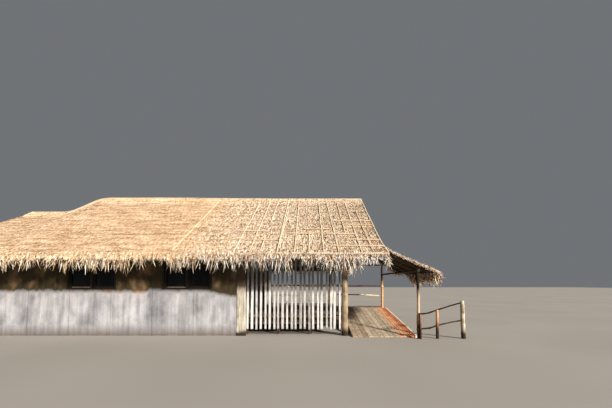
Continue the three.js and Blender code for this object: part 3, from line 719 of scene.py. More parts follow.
@dataclass
class NodeTree:
    """A Geometry Nodes tree with named inputs, and the means to run it once."""

    name: str
    #: The width that the edges of its pieces are eased by
    eased: float = 0.0
    tree: bpy.types.NodeTree = field(init=False)
    entry: bpy.types.NodeOutputs = field(init=False)

    #: The name of each input, and its value where a piece gives none
    INPUTS: ClassVar[dict[str, Any]] = {}

    def __post_init__(self) -> None:
        """Make the tree's sockets, its nodes and its ending."""
        self.tree = bpy.data.node_groups.new(self.name, "GeometryNodeTree")
        kinds = {int: "NodeSocketInt", float: "NodeSocketFloat", tuple: "NodeSocketVector"}
        face = self.tree.interface
        face.new_socket("Geometry", in_out="INPUT", socket_type="NodeSocketGeometry")
        for word, value in (self.INPUTS | {"Seed": 1}).items():
            face.new_socket(word, in_out="INPUT", socket_type=kinds[type(value)]).default_value = value
        face.new_socket("Material", in_out="INPUT", socket_type="NodeSocketMaterial")
        face.new_socket("Geometry", in_out="OUTPUT", socket_type="NodeSocketGeometry")
        self.entry = self.add(Node.ENTRY).node.outputs
        shape = self.add(Node.REALIZE, self.shape())
        tint = self.add(Node.RANDOM, 0.0, 1.0, self.add(Node.ISLAND), self.entry["Seed"])
        shape = self.add(Node.STORE, shape, None, "tint", tint)
        self.add(Node.RESULT, self.add(Node.SET_MATERIAL, shape, None, self.entry["Material"]))

    def add(self, kind: Node, *values: Any, **settings: Any) -> Socket:
        """Add a node to this tree, as add_node does."""
        return add_node(self.tree, kind, *values, **settings)

    def seed(self, step: int) -> Socket:
        """Add a step to the tree's seed, for a draw of its own."""
        return self.add(Node.ADD, self.entry["Seed"], float(step))

    def jitter(self, reach: Any, step: int) -> Socket:
        """Draw a random vector within plus and minus a reach."""
        drawn = self.add(Node.RANDOM_VECTOR, (-1.0, -1.0, -1.0), (1.0, 1.0, 1.0), None, self.seed(step))
        return self.add(Node.V_TIMES, drawn, reach)

    def shape(self) -> Socket:
        """Build the tree's own nodes and return the geometry."""
        raise NotImplementedError

    def run(
        self, name: str, coat: Coat, *nodes: str, base: bpy.types.ID | None = None,
        slot: Slot | None = None, **values: Any,
    ) -> bpy.types.Object:
        """Run the tree once, keep what it makes as a plain mesh and dress it.

        Args:
            name: The new piece's name.
            coat: Its finish.
            *nodes: The CAD nodes that it replaces.
            base: The mesh or curve that the tree reads, if it reads one.
            slot: The record's slot, where it isn't the finish's own.
            **values: The tree's inputs, with _ for a space.

        Returns:
            The dressed piece, at the origin.
        """
        rough = place(name + "_base", base or bpy.data.meshes.new(name + "_base"))
        modifier = rough.modifiers.new("repeat", "NODES")
        modifier.node_group = self.tree
        sockets = {item.name: item.identifier for item in self.tree.interface.items_tree
                   if item.in_out == "INPUT"}
        modifier[sockets["Material"]] = coat.material
        for key, value in values.items():
            modifier[sockets[key.replace("_", " ")]] = value
        if self.eased:
            edge = rough.modifiers.new("eased", "BEVEL")
            edge.width, edge.segments, edge.limit_method = self.eased, 1, "NONE"
        graph = bpy.context.evaluated_depsgraph_get()
        mesh = bpy.data.meshes.new_from_object(rough.evaluated_get(graph))
        bpy.data.objects.remove(rough)
        return dress(place(name, mesh), coat, *nodes, slot=slot)


@dataclass
class BladeCover(NodeTree):
    """Rows of grass blades laid down a slope, each a slim three-sided spike."""

    INPUTS = {"Low Corner": ZERO, "High Corner": ZERO, "Columns": 100, "Rows": 20,
              "Jitter": (0.03, 0.03, 0.0), "Down": ZERO, "Lift": 0.0, "Spread": ZERO, "Length": 0.2,
              "Radius": 0.0075}

    def shape(self) -> Socket:
        """Scatter points over the plan, drop them on the base and lay a blade from each.

        Returns:
            The geometry's socket.
        """
        add, entry = self.add, self.entry
        grid = add(Node.GRID, 1.0, 1.0, entry["Columns"], entry["Rows"])
        unit = add(Node.V_ADD, add(Node.POSITION), (0.5, 0.5, 0.0))
        span = add(Node.V_MINUS, entry["High Corner"], entry["Low Corner"])
        plan = add(Node.V_ADD, add(Node.V_TIMES, unit, span), entry["Low Corner"])
        plan = add(Node.V_ADD, plan, self.jitter(entry["Jitter"], 1))
        above = add(Node.V_ADD, add(Node.V_TIMES, plan, (1.0, 1.0, 0.0)), (0.0, 0.0, 12.0))
        hit = add(Node.RAY, entry["Geometry"], None, above, (0.0, 0.0, -1.0), 20.0).node.outputs
        points = add(Node.STORE_VECTOR, grid, None, "lean", hit["Hit Normal"])
        points = add(Node.STORE_FLAG, points, None, "met", hit["Is Hit"])
        points = add(Node.MOVE, points, None, hit["Hit Position"])
        # Down the slope: the way down without its part along the surface's normal
        upward = add(Node.READ_VECTOR, "lean")
        part = add(Node.V_SCALE, upward, add(Node.V_DOT, entry["Down"], upward))
        way = add(Node.V_UNIT, add(Node.V_MINUS, entry["Down"], part))
        way = add(Node.V_ADD, way, add(Node.V_SCALE, upward, entry["Lift"]))
        way = add(Node.V_ADD, way, self.jitter(entry["Spread"], 2))
        size = add(Node.JOIN, entry["Radius"], entry["Radius"], entry["Length"])
        size = add(Node.V_SCALE, size, add(Node.RANDOM, 0.6, 1.4, None, self.seed(3)))
        blade = add(Node.CONE, 3, 1, None, 0.0, 1.0, 1.0)
        return add(Node.INSTANCE, points, add(Node.READ_FLAG, "met"), blade, None, None,
                   add(Node.AIM, None, None, way), size)


@dataclass
class TuftFringe(NodeTree):
    """Rows of hanging tufts along a line; each tuft is a few curled leaves that draw together."""

    INPUTS = {"Start": ZERO, "End": ZERO, "Row Step": ZERO, "Columns": 200, "Rows": 3, "Way": ZERO,
              "Spread": ZERO, "Length": 0.4, "Unevenness": 0.3, "Clump": 0.4, "Gaps": 0.0, "Leaves": 4,
              "Leaf Radius": 0.01, "Tuft Radius": 0.03, "Curl": 0.2}

    def rolled(self, way: Socket, step: int) -> Socket:
        """Aim a piece along a way and roll it about it, by a draw of its own."""
        roll = self.add(Node.JOIN, None, None, self.add(Node.RANDOM, 0.0, 6.28, None, self.seed(step)))
        return self.add(Node.TURN, self.add(Node.AIM, None, None, way), self.add(Node.EULER, roll))

    def leaf(self) -> Socket:
        """Shape one leaf of unit length: flat, widest above its middle, curled to one side.

        Returns:
            The geometry's socket.
        """
        add, entry = self.add, self.entry
        bar = add(Node.CONE, 4, 3, None, 1.0, 1.0, 1.0)
        x, y, z = add(Node.SPLIT, add(Node.POSITION)).node.outputs
        width = add(Node.TIMES_ADD, z, add(Node.TIMES_ADD, z, -1.68, 1.2), 0.6)
        radius = add(Node.TIMES, width, entry["Leaf Radius"])
        bent = add(Node.TIMES, add(Node.TIMES, add(Node.TIMES, z, z), entry["Curl"]), 0.35)
        flat = add(Node.TIMES_ADD, add(Node.TIMES, y, 0.4), radius, bent)
        return add(Node.MOVE, bar, None, add(Node.JOIN, add(Node.TIMES, x, radius), flat, z))

    def tuft(self) -> Socket:
        """Draw a few leaves together into a tuft.

        Returns:
            The geometry's socket.
        """
        add, entry = self.add, self.entry
        here = add(Node.POSITION)
        reach = add(Node.TIMES, entry["Tuft Radius"], add(Node.RANDOM, 0.2, 1.0, None, self.seed(21)))
        points = add(Node.MOVE, add(Node.RING, entry["Leaves"], 1.0), None, add(Node.V_SCALE, here, reach))
        way = add(Node.V_ADD, add(Node.V_SCALE, here, -2.6), (0.0, 0.0, 1.0))
        way = add(Node.V_ADD, way, self.jitter((0.07, 0.07, 0.0), 22))
        size = add(Node.JOIN, 1.0, 1.0, add(Node.RANDOM, 0.55, 1.0, None, self.seed(24)))
        return add(Node.REALIZE, add(Node.INSTANCE, points, None, self.leaf(), None, None,
                                     self.rolled(way, 23), size))

    def shape(self) -> Socket:
        """Set points along the line, thin them to clumps and hang a tuft from each.

        Returns:
            The geometry's socket.
        """
        add, entry = self.add, self.entry
        here = add(Node.POSITION)
        along, row, _ = add(Node.SPLIT, add(Node.V_ADD, here, (0.5, 0.5, 0.0))).node.outputs
        gap = add(Node.DIVIDE, 0.5, entry["Columns"])
        share = add(Node.TIMES_ADD, gap, add(Node.RANDOM, -1.0, 1.0, None, self.seed(7)), along)
        share = add(Node.MINIMUM, add(Node.MAXIMUM, share, 0.0), 1.0)
        line = add(Node.V_SCALE, add(Node.V_MINUS, entry["End"], entry["Start"]), share)
        row = add(Node.TIMES, row, add(Node.MINUS, entry["Rows"], 1.0))
        spot = add(Node.V_ADD, add(Node.V_ADD, entry["Start"], line),
                   add(Node.V_SCALE, entry["Row Step"], row))
        spot = add(Node.V_ADD, spot, self.jitter((0.012, 0.012, 0.012), 1))
        points = add(Node.MOVE, add(Node.GRID, 1.0, 1.0, entry["Columns"], entry["Rows"]), None, spot)
        bunch = add(Node.NOISE, here, add(Node.DIVIDE, 1.0, entry["Clump"]), 1.5)
        level = add(Node.REMAP, bunch, 0.3, 0.7)
        bare = add(Node.TIMES, entry["Gaps"], add(Node.RANDOM, 0.3, 1.7, None, self.seed(5)))
        points = add(Node.DELETE, points, add(Node.BELOW, level, bare))
        way = add(Node.V_ADD, entry["Way"], self.jitter(entry["Spread"], 2))
        short = add(Node.MINUS, 1.0, entry["Unevenness"])
        reach = add(Node.TIMES, entry["Length"], add(Node.TIMES_ADD, level, entry["Unevenness"], short))
        reach = add(Node.TIMES, reach, add(Node.RANDOM, 0.65, 1.15, None, self.seed(3)))
        stout = add(Node.RANDOM, 0.7, 1.3, None, self.seed(6))
        return add(Node.INSTANCE, points, None, self.tuft(), None, None, self.rolled(way, 8),
                   add(Node.JOIN, stout, stout, reach))


@dataclass
class PoleRun(NodeTree):
    """Round or split poles along curves, a little crooked, swelling at their knots."""

    INPUTS = {"Step": 0.12, "Sides": 10, "Flatness": 1.0, "Wobble": 0.01, "Bend Size": 0.8,
              "Knot Pitch": 0.4, "Knot": 0.1, "Roughness": 0.12}

    def shape(self) -> Socket:
        """Resample the curves, bend them, swell them and sweep a round along them.

        Returns:
            The geometry's socket.
        """
        add, entry = self.add, self.entry
        here = add(Node.POSITION)
        bend = add(Node.NOISE, here, add(Node.DIVIDE, 1.0, entry["Bend Size"]), 1.0, out="Color")
        push = add(Node.V_SCALE, add(Node.V_MINUS, bend, (0.5, 0.5, 0.5)),
                   add(Node.TIMES, entry["Wobble"], 2.0))
        # A pole keeps its two ends where they are seated.
        along = add(Node.SPLINE).node.outputs
        hold = add(Node.MINIMUM, add(Node.TIMES, 4.0, add(Node.PINGPONG, along["Factor"], 0.5)), 1.0)
        pole = add(Node.RESAMPLE, entry["Geometry"], None, entry["Step"])
        pole = add(Node.MOVE, pole, None, None, add(Node.V_SCALE, push, hold))
        lump = add(Node.TIMES, add(Node.MINUS, add(Node.NOISE, here, 9.0, 1.0), 0.5),
                   add(Node.TIMES, entry["Roughness"], 2.0))
        ring = add(Node.PINGPONG, along["Length"], add(Node.TIMES, entry["Knot Pitch"], 0.5))
        knot = add(Node.REMAP, ring, 0.0, 0.03, 1.0, 0.0)
        swell = add(Node.TIMES_ADD, knot, entry["Knot"], add(Node.ADD, 1.0, lump))
        pole = add(Node.SET_RADIUS, pole, None, add(Node.TIMES, add(Node.RADIUS), swell))
        flat = add(Node.JOIN, 1.0, entry["Flatness"], 1.0)
        section = add(Node.TRANSFORM, add(Node.CIRCLE, entry["Sides"], 1.0), None, None, flat)
        return add(Node.SWEEP, pole, section, add(Node.RADIUS), True)

    def sweep(self, name: str, coat: Coat, poles: Iterable[Pole], *nodes: str, **values: Any) -> None:
        """Make a set of poles, shaded smooth.

        Args:
            name: The piece's name.
            coat: Its finish.
            poles: The poles.
            *nodes: The CAD nodes that they replace.
            **values: What run takes.
        """
        curve = bpy.data.curves.new(name + "_base", "CURVE")
        curve.dimensions = "3D"
        for points, first, last in poles:
            spline = curve.splines.new("POLY")
            spline.points.add(len(points) - 1)
            for spot, point, radius in zip(spline.points, points, between(first, last, len(points) - 1)):
                spot.co, spot.radius = (*point, 1.0), radius
        round_off(self.run(name, coat, *nodes, base=curve, **values))


@dataclass
class BoardRun(NodeTree):
    """Boards or slats set side by side, each a little different in size, place and tilt."""

    INPUTS = {"Start": ZERO, "Pitch": ZERO, "Count": 1, "Size": ZERO, "Size Play": ZERO,
              "Place Play": ZERO, "Turn": ZERO, "Turn Play": ZERO}

    def shape(self) -> Socket:
        """Set a line of points and stand a board on each.

        Returns:
            The geometry's socket.
        """
        add, entry = self.add, self.entry
        line = add(Node.LINE, entry["Count"], entry["Start"], entry["Pitch"])
        points = add(Node.MOVE, line, None, None, self.jitter(entry["Place Play"], 1))
        size = add(Node.V_ADD, entry["Size"], self.jitter(entry["Size Play"], 2))
        turn = add(Node.V_ADD, entry["Turn"], self.jitter(entry["Turn Play"], 3))
        return add(Node.INSTANCE, points, None, add(Node.CUBE, (1.0, 1.0, 1.0)), None, None,
                   add(Node.EULER, turn), size)


@dataclass
class Workshop:
    """The Geometry Nodes trees that every sub-assembly uses."""

    blades: BladeCover = field(default_factory=lambda: BladeCover("grass_blade_cover"))
    tufts: TuftFringe = field(default_factory=lambda: TuftFringe("grass_tuft_fringe"))
    poles: PoleRun = field(default_factory=lambda: PoleRun("pole_run"))
    boards: BoardRun = field(default_factory=lambda: BoardRun("board_run", eased=0.004))
    bars: BoardRun = field(default_factory=lambda: BoardRun("weather_bar", eased=0.006))


# The roof


@dataclass
class RoofSurface:
    """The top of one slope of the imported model, smoothed along the ridge."""

    side: Side
    #: The half length of the run that a height is averaged over
    smooth: float = 0.22
    #: How far the loose corner leans out, and how far the ridge's older end stands up
    flare: float = 0.09
    rise: float = 0.045
    tree: BVHTree = field(init=False)
    low: Vector = field(init=False)
    high: Vector = field(init=False)
    #: How far the eave stands from the ridge, in plan
    reach: float = field(init=False)

    def __post_init__(self) -> None:
        """Read the slope from the frame."""
        node = "roof_thatch_" + self.side.word
        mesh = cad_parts[node].data
        faces = [tuple(face.vertices) for face in mesh.polygons]
        self.tree = BVHTree.FromPolygons([v.co.copy() for v in mesh.vertices], faces)
        self.low, self.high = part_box(node)
        self.reach = max(abs(self.low.y), abs(self.high.y))

    def corner(self, x: float, out: float) -> float:
        """Give how far the loose corner at the veranda end leans out, at a place on the slope."""
        near, down = 1.0 - (self.high.x - x) / 0.5, (out / self.reach - 0.8) / 0.2
        return self.flare * max(0.0, near) * max(0.0, down) ** 2

    def crown(self, x: float, out: float) -> float:
        """Give how far the older end of the ridge stands above the newer one, at a place."""
        old = min(1.0, max(0.0, (3.5 - x) / 4.5)) * min(1.0, max(0.0, (x + 5.2) / 1.4))
        return self.rise * old * max(0.0, 1.0 - out / 1.2)

    def top(self, x: float, out: float) -> float:
        """Give the height of the grass at a place.

        Args:
            x: The place along the ridge.
            out: The distance from the ridge in plan.

        Returns:
            The height, averaged over a short run of the ridge.
        """
        y = self.side.value * min(max(out, 0.002), self.reach - 0.002)
        heights = []
        for step in (-1.0, -0.5, 0.0, 0.5, 1.0):
            at = min(max(x + step * self.smooth, self.low.x + 0.002), self.high.x - 0.002)
            heights.append(self.tree.ray_cast(Vector((at, y, 12.0)), Vector((0.0, 0.0, -1.0)))[0].z)
        return sum(heights) / len(heights) + self.crown(x, out)


@dataclass
class ThatchSlope:
    """One slope of the roof: packed grass in courses, a cover of blades and its edges."""

    shop: Workshop
    side: Side
    #: How far apart the courses lie down the slope, and how far each one stands up
    course: float = 0.34
    course_rise: float = 0.018
    #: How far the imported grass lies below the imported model's surface, which the blades reach
    sunk: float = 0.016
    #: The mesh's step along the ridge and its rows down the slope
    cell: float = 0.08
    rows: int = 76
    #: How thick the grass is, and how high its cut face is at the eave
    depth: float = 0.18
    eave_face: float = 0.17
    #: How far from the veranda end the last bay begins, which has lost most of its hanging leaves
    bare_bay: float = 0.85
    surface: RoofSurface = field(init=False)

    def __post_init__(self) -> None:
        """Read the surface that the slope follows."""
        self.surface = RoofSurface(self.side)

    def height(self, x: float, out: float) -> float:
        """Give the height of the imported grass, with its courses and its slow waves.

        Args:
            x: The place along the ridge.
            out: The distance from the ridge in plan.

        Returns:
            The height.
        """
        saw = (out / self.course + 0.3 * waver(x * 0.8, out, 5.0)) % 1.0
        wave, fine = waver(x * 0.9, out * 0.7, 3.0 * self.side.value), waver(x * 7.0, out * 2.0, 9.0)
        return self.surface.top(x, out) - self.sunk + self.course_rise * saw + 0.014 * wave + 0.007 * fine

    def section(self, x: float) -> list[Point]:
        """Give the ring of points around the slope at one place along the ridge.

        Args:
            x: The place along the ridge.

        Returns:
            The top from the ridge down, the eave's face, and the underside back up.
        """
        s, reach = self.side.value, self.surface.reach
        ring = [(x + self.surface.corner(x, out), s * out, self.height(x, out))
                for out in between(0.001, reach, self.rows)]
        eave = ring[-1][2]
        ragged = 0.05 * waver(x * 5.0, 1.0, s) + 0.03 * waver(x * 17.0, 1.0, s)
        for push, share in ((-0.012, 0.35), (-0.02, 0.75), (-0.07, 1.0)):
            ring.append((x + self.surface.corner(x, reach), s * (reach + push + 0.2 * ragged),
                         eave - share * (self.eave_face + ragged)))
        under = [(x, s * out, self.surface.top(x, out) - self.depth + 0.004)
                 for out in between(0.001, reach - 0.109, 10)]
        return ring + under[::-1]

    def build_cover(self) -> None:
        """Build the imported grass, the blades over it and the loose leaves of the newer end."""
        s, reach, word = self.side.value, self.surface.reach, self.side.word
        low, high = self.surface.low.x, self.surface.high.x
        rings = [self.section(x) for x in between(low, high, round((high - low) / self.cell))]
        packed = loft(f"packed_grass_{word}", rings)
        dress(packed, Coat.PACKED, f"roof_thatch_{word}")
        columns, rows = (560, 62) if self.side is Side.FRONT else (380, 44)
        down = (0.0, 0.83 * s, -0.55)
        self.shop.blades.run(
            f"grass_blades_{word}", Coat.BLADES, base=packed.data, Low_Corner=(low + 0.02, s * 0.04, 0.0),
            High_Corner=(high - 0.02, s * (reach - 0.02), 0.0), Columns=columns, Rows=rows, Down=down,
            Lift=0.05, Spread=(0.12, 0.04, 0.04), Seed=10 + s)
        self.shop.blades.run(
            f"loose_leaves_{word}", Coat.FRINGE, base=packed.data, Low_Corner=(1.5, s * 0.3, 0.0),
            High_Corner=(high - 0.1, s * (reach - 0.05), 0.0), Columns=114, Rows=52,
            Jitter=(0.09, 0.09, 0.0), Down=down, Lift=0.04, Spread=(0.35, 0.1, 0.06), Length=0.17,
            Radius=0.0105, Seed=14 + s)

    def hang(
        self, name: str, coat: Coat, span: Point, row: Point, step: Point, way: float, *nodes: str,
        **values: Any,
    ) -> None:
        """Hang rows of tufts along the eave.

        Args:
            name: The piece's name, without its side.
            coat: Its finish.
            span: The two ends of a row along the ridge.
            row: How far the first row stands out from the eave and above it.
            step: The same for each row from the one before.
            way: How far a tuft leans out over a drop of 1 m.
            *nodes: The CAD nodes that the tufts replace, without their side.
            **values: The tree's other inputs.
        """
        s, word = self.side.value, self.side.word
        y, z = s * (self.surface.reach + row[0]), self.surface.top(0.0, self.surface.reach) + row[1]
        self.shop.tufts.run(
            f"{name}_{word}", coat, *(f"{node}_{word}" for node in nodes), Start=(span[0], y, z),
            End=(span[1], y, z), Row_Step=(0.0, s * step[0], step[1]), Way=(0.0, s * way, -1.0), **values)

    def build_eave(self) -> None:
        """Hang the ragged fringe that replaces the eave's node."""
        s, front = self.side.value, self.side is Side.FRONT
        low, high = self.surface.low.x + 0.03, self.surface.high.x - 0.03 + self.surface.flare
        thin = high - self.bare_bay
        self.hang("eave_lip", Coat.EAVE, (low, high), (-0.01, 0.004), (0.008, -0.038), 0.35,
                  Columns=220 if front else 130, Rows=4, Spread=(0.15, 0.03, 0.0), Length=0.19,
                  Unevenness=0.2, Leaf_Radius=0.017, Tuft_Radius=0.035, Curl=0.1, Seed=31 + s)
        self.hang("eave_clumps", Coat.EAVE, (low, thin), (0.03, -0.08), (0.006, -0.03), 0.12,
                  Columns=112, Rows=2, Spread=(0.2, 0.05, 0.0), Length=0.31, Unevenness=0.5, Clump=0.3,
                  Gaps=0.5, Leaves=7, Leaf_Radius=0.012, Tuft_Radius=0.05, Curl=0.15, Seed=41 + s)
        self.hang("eave_tufts", Coat.SKIRT, (low, thin), (-0.01, -0.07), (-0.05, -0.02), 0.03,
                  "eave_fringe", Columns=178, Rows=2, Spread=(0.22, 0.08, 0.0), Length=0.66,
                  Unevenness=0.5, Gaps=0.38, Leaves=3, Leaf_Radius=0.015, Tuft_Radius=0.016, Curl=0.3,
                  Seed=51 + s)
        self.hang("eave_strands", Coat.SKIRT, (thin, high), (0.02, -0.1), (-0.03, -0.02), 0.05,
                  Columns=13, Rows=2, Spread=(0.22, 0.05, 0.0), Unevenness=0.5, Gaps=0.4,
                  Leaf_Radius=0.013, Tuft_Radius=0.02, Seed=61 + s)

    def build_verges(self) -> None:
        """Set the cut ends of the grass along the two gables, and the loose corner by the canopy."""
        s, reach, top = self.side.value, self.surface.reach, self.surface.top
        edge, word = self.surface.high.x, self.side.word
        for end, way, inner in (("left", -1, self.surface.low.x + 0.05), ("right", 1, edge - 0.075)):
            self.shop.tufts.run(
                f"verge_grass_{end}_{word}", Coat.FRINGE, Start=(inner, s * 0.05, top(inner, 0.05) - 0.03),
                End=(inner, s * reach, top(inner, reach) - 0.03), Row_Step=(way * 0.006, 0.0, -0.045),
                Columns=60, Rows=4, Way=(way * 0.16, s * 0.6, -0.75), Spread=(0.12, 0.2, 0.2),
                Length=0.17, Clump=0.2, Leaf_Radius=0.009, Seed=71 + s)
        self.shop.tufts.run(
            f"corner_grass_{word}", Coat.FRINGE,
            Start=(edge - 0.04, s * reach * 0.9, top(edge, reach * 0.9) - 0.05),
            End=(edge + self.surface.flare - 0.03, s * reach, top(edge, reach) - 0.06),
            Row_Step=(-0.02, 0.0, -0.05), Columns=14, Rows=4, Way=(0.12, s * 0.1, -1.0),
            Spread=(0.12, 0.12, 0.0), Length=0.42, Clump=0.2, Leaves=5, Leaf_Radius=0.011, Seed=81 + s)

    def build(self) -> None:
        """Build the slope and everything that grows from it."""
        self.build_cover()
        self.build_eave()
        self.build_verges()


@dataclass
class BattenNet:
    """Split bamboo tied over the grass: strips down the slope and strips along it."""

    shop: Workshop
    surface: RoofSurface
    radius: float = 0.02
    lift: float = 0.024
    #: Place along the ridge at the top and at the eave, then the two ends by distance from the ridge
    down: tuple[tuple[float, float, float, float], ...] = (
        (1.18, 0.97, 0.1, 4.1), (2.95, 2.8, 0.3, 4.15), (3.37, 3.26, 0.1, 4.15),
        (3.7, 3.64, 0.3, 2.35), (3.59, 3.58, 3.35, 4.13), (4.13, 4.07, 0.06, 4.18),
        (4.2, 4.1, 0.9, 3.6), (4.57, 4.58, 0.3, 4.15), (5.02, 5.0, 3.05, 4.16),
        (5.4, 5.44, 0.1, 4.16), (5.73, 5.88, 0.06, 4.15), (6.17, 6.2, 0.06, 3.1),
        (6.5, 6.55, 0.1, 4.16), (6.84, 6.88, 1.3, 4.16), (7.25, 7.25, 0.04, 4.18))
    #: Distance from the ridge, then the two ends along the ridge
    along: tuple[tuple[float, float, float], ...] = (
        (2.13, 5.85, 7.21), (2.45, 6.3, 7.22), (2.77, 4.84, 5.7), (2.92, 2.6, 3.7),
        (3.1, 4.3, 5.14), (3.11, 5.6, 6.5), (3.49, 1.9, 4.0), (3.49, 6.2, 7.24), (3.865, 5.75, 7.26),
        (4.16, 2.7, 4.34), (4.17, 4.6, 7.26))

    def run(self, first: Point, last: Point, steps: int, lift: float) -> list[Point]:
        """Lay a strip on the grass.

        Args:
            first: Its start: the place along the ridge and the distance from the ridge.
            last: Its end, given in the same way.
            steps: The number of lengths that it is bent in.
            lift: How far its middle lies above the grass.

        Returns:
            The points along its middle.
        """
        places = zip(between(first[0], last[0], steps), between(first[1], last[1], steps))
        return [(at + self.surface.corner(at, out), self.surface.side.value * out,
                 self.surface.top(at, out) + lift) for at, out in places]

    def build(self) -> None:
        """Build the net of one slope."""
        strips = [(self.run((top, first), (foot, last), 14, self.lift), self.radius, self.radius * 0.8)
                  for top, foot, first, last in self.down]
        for out, first, last in self.along:
            # The lowest strip lies against the cut edge of the grass.
            over, lift = (0.03, -0.022) if out > self.surface.reach - 0.05 else (0.0, self.lift + 0.022)
            points = self.run((first, out - 0.01 + over), (last, out + 0.006 + over), 16, lift)
            strips.append((points, self.radius, self.radius * 0.9))
        self.shop.poles.sweep(
            f"roof_battens_{self.surface.side.word}", Coat.BATTEN, strips, Step=0.16, Sides=6,
            Flatness=0.8, Wobble=0.016, Bend_Size=0.6, Knot_Pitch=0.42, Knot=0.15, Roughness=0.3, Seed=5)


@dataclass
class FilmUnderlay:
    """Film laid under the grass, that shows in tatters below the eave."""

    surface: RoofSurface
    #: How far the film stands out from the eave and hangs below the top of its grass
    proud: float = 0.065
    below: float = 0.175
    #: The two ends of each strip along the ridge
    spans: tuple[tuple[float, float], ...] = (
        (1.75, 2.0), (2.35, 2.5), (3.35, 3.5), (3.93, 4.03), (5.84, 5.95), (6.62, 6.75), (6.8, 6.95),
        (7.04, 7.18), (7.2, 7.3))

    def build(self) -> None:
        """Build the strips of film behind the eave's lip."""
        s, reach = self.surface.side.value, self.surface.reach
        z = self.surface.top(0.0, reach) - self.below
        for number, (first, last) in enumerate(self.spans, 1):
            rings = []
            steps = max(8, round((last - first) / 0.03))
            for i, x in enumerate(between(first, last, steps), 1):
                y = s * (reach + self.proud + 0.02 * waver(x * 9.0, 0.0, 1.0))
                hang = 0.035 + 0.04 * abs(waver(x * 14.0, 4.0, 1.0))
                hang *= math.sin(math.pi * i / (steps + 2)) ** 0.5
                rings.append([(x, y - s * 0.1, z + 0.01), (x, y, z), (x, y + s * 0.01, z - hang),
                              (x, y + s * 0.004, z - hang), (x, y - s * 0.006, z - 0.006),
                              (x, y - s * 0.1, z + 0.004)])
            film = loft(f"film_{self.surface.side.word}_{number}", rings)
            film.data.shade_smooth()
            dress(film, Coat.FILM)


@dataclass
class RidgeCap:
    """The low rounded cap of grass astride the ridge, with two strips that hold it down."""

    shop: Workshop
    front: RoofSurface
    half_width: float = 0.4
    #: How far the cap's middle stands above the slopes
    crest: float = 0.062
    cell: float = 0.09
    #: How far each strip lies from the ridge
    strip_out: float = 0.06
    strip_radius: float = 0.02

    def top(self, x: float, y: float) -> float:
        """Give the height of the cap's grass at a place."""
        share = min(1.0, abs(y) / self.half_width)
        return self.front.top(x, abs(y)) + 0.004 + self.crest * math.cos(0.5 * math.pi * share) ** 0.8

    def section(self, x: float) -> list[Point]:
        """Give the ring of points around the cap at one place along the ridge.

        Args:
            x: The place along the ridge.

        Returns:
            The top from front to back, then the underside.
        """
        edge = self.half_width * 0.999
        across = between(-edge, edge, 12)
        top = [(x, y, self.top(x, y) - 0.006 + 0.01 * waver(x * 9.0, y * 6.0, 2.0)) for y in across]
        return top + [(x, y, self.front.top(x, abs(y)) - 0.05) for y in across[::-1]]

    def build(self) -> None:
        """Build the cap, the blades on both sides of it and the strips."""
        low, high = self.front.low.x, self.front.high.x
        rings = [self.section(x) for x in between(low, high, round((high - low) / self.cell))]
        cap = loft("ridge_grass", rings)
        dress(cap, Coat.PACKED, "ridge_cap")
        for side in Side:
            s = side.value
            self.shop.blades.run(
                f"ridge_blades_{side.word}", Coat.RIDGE, base=cap.data,
                Low_Corner=(low + 0.02, s * 0.05, 0.0), High_Corner=(high - 0.02, s * 0.34, 0.0),
                Columns=430, Rows=7, Jitter=(0.03, 0.02, 0.0), Down=(0.0, 0.83 * s, -0.55),
                Spread=(0.1, 0.0, 0.02), Length=0.16, Seed=90 + s)
        strips = [([(x, side.value * self.strip_out, self.top(x, self.strip_out) + 0.008)
                    for x in between(low + 0.05, high - 0.05, 40)], self.strip_radius, self.strip_radius)
                  for side in Side]
        self.shop.poles.sweep("ridge_strips", Coat.BATTEN, strips, Step=0.2, Sides=6, Flatness=0.6,
                              Knot=0.15, Roughness=0.2, Seed=4)


@dataclass
class RoofTimber:
    """Round poles under the grass: rafters, purlins, plates, the ridge pole and the trusses."""

    shop: Workshop
    surfaces: dict[Side, RoofSurface]
    rafter_x: tuple[float, ...] = (-6.9, -6.14, -4.7, -3.2, -1.6, 0.0, 1.4, 2.83, 4.49, 6.148, 7.18)
    purlin_out: tuple[float, ...] = (0.7, 1.6, 2.5, 3.5, 4.08)
    purlin_radius: float = 0.036
    rafter_radius: float = 0.07
    cover: float = 0.18
    purlin_gap: float = 0.006
    rafter_gap: float = 0.034

    def slope(self, side: Side) -> list[Pole]:
        """List the rafters and the purlins of one slope.

        Args:
            side: The slope's side.

        Returns:
            The poles.
        """
        surface = self.surfaces[side]
        below = self.cover + 2 * self.purlin_radius + self.rafter_radius + self.rafter_gap
        outs = (0.1, 2.1, surface.reach - 0.07)
        poles = [([(x, side.value * out, surface.top(x, out) - below) for out in outs],
                  self.rafter_radius, self.rafter_radius * 0.85) for x in self.rafter_x]
        below = self.cover + self.purlin_radius + self.purlin_gap
        return poles + [([(x, side.value * out, surface.top(x, out) - below)
                          for x in between(surface.low.x + 0.02, surface.high.x, 20)],
                         self.purlin_radius, self.purlin_radius * 0.9) for out in self.purlin_out]

    def build(self) -> None:
        """Build every timber of the roof."""
        for side in Side:
            self.shop.poles.sweep(
                f"roof_poles_{side.word}", Coat.POLES, self.slope(side), f"roof_frame_{side.word}",
                Step=0.35, Sides=8, Bend_Size=1.5, Knot=0.04, Roughness=0.1, Seed=7)
        dress_nodes(Coat.POLES, "wall_plate_front", "wall_plate_back", "ridge_pole", "truss_left",
                    "truss_middle", "truss_veranda", "truss_gable")


# The walls


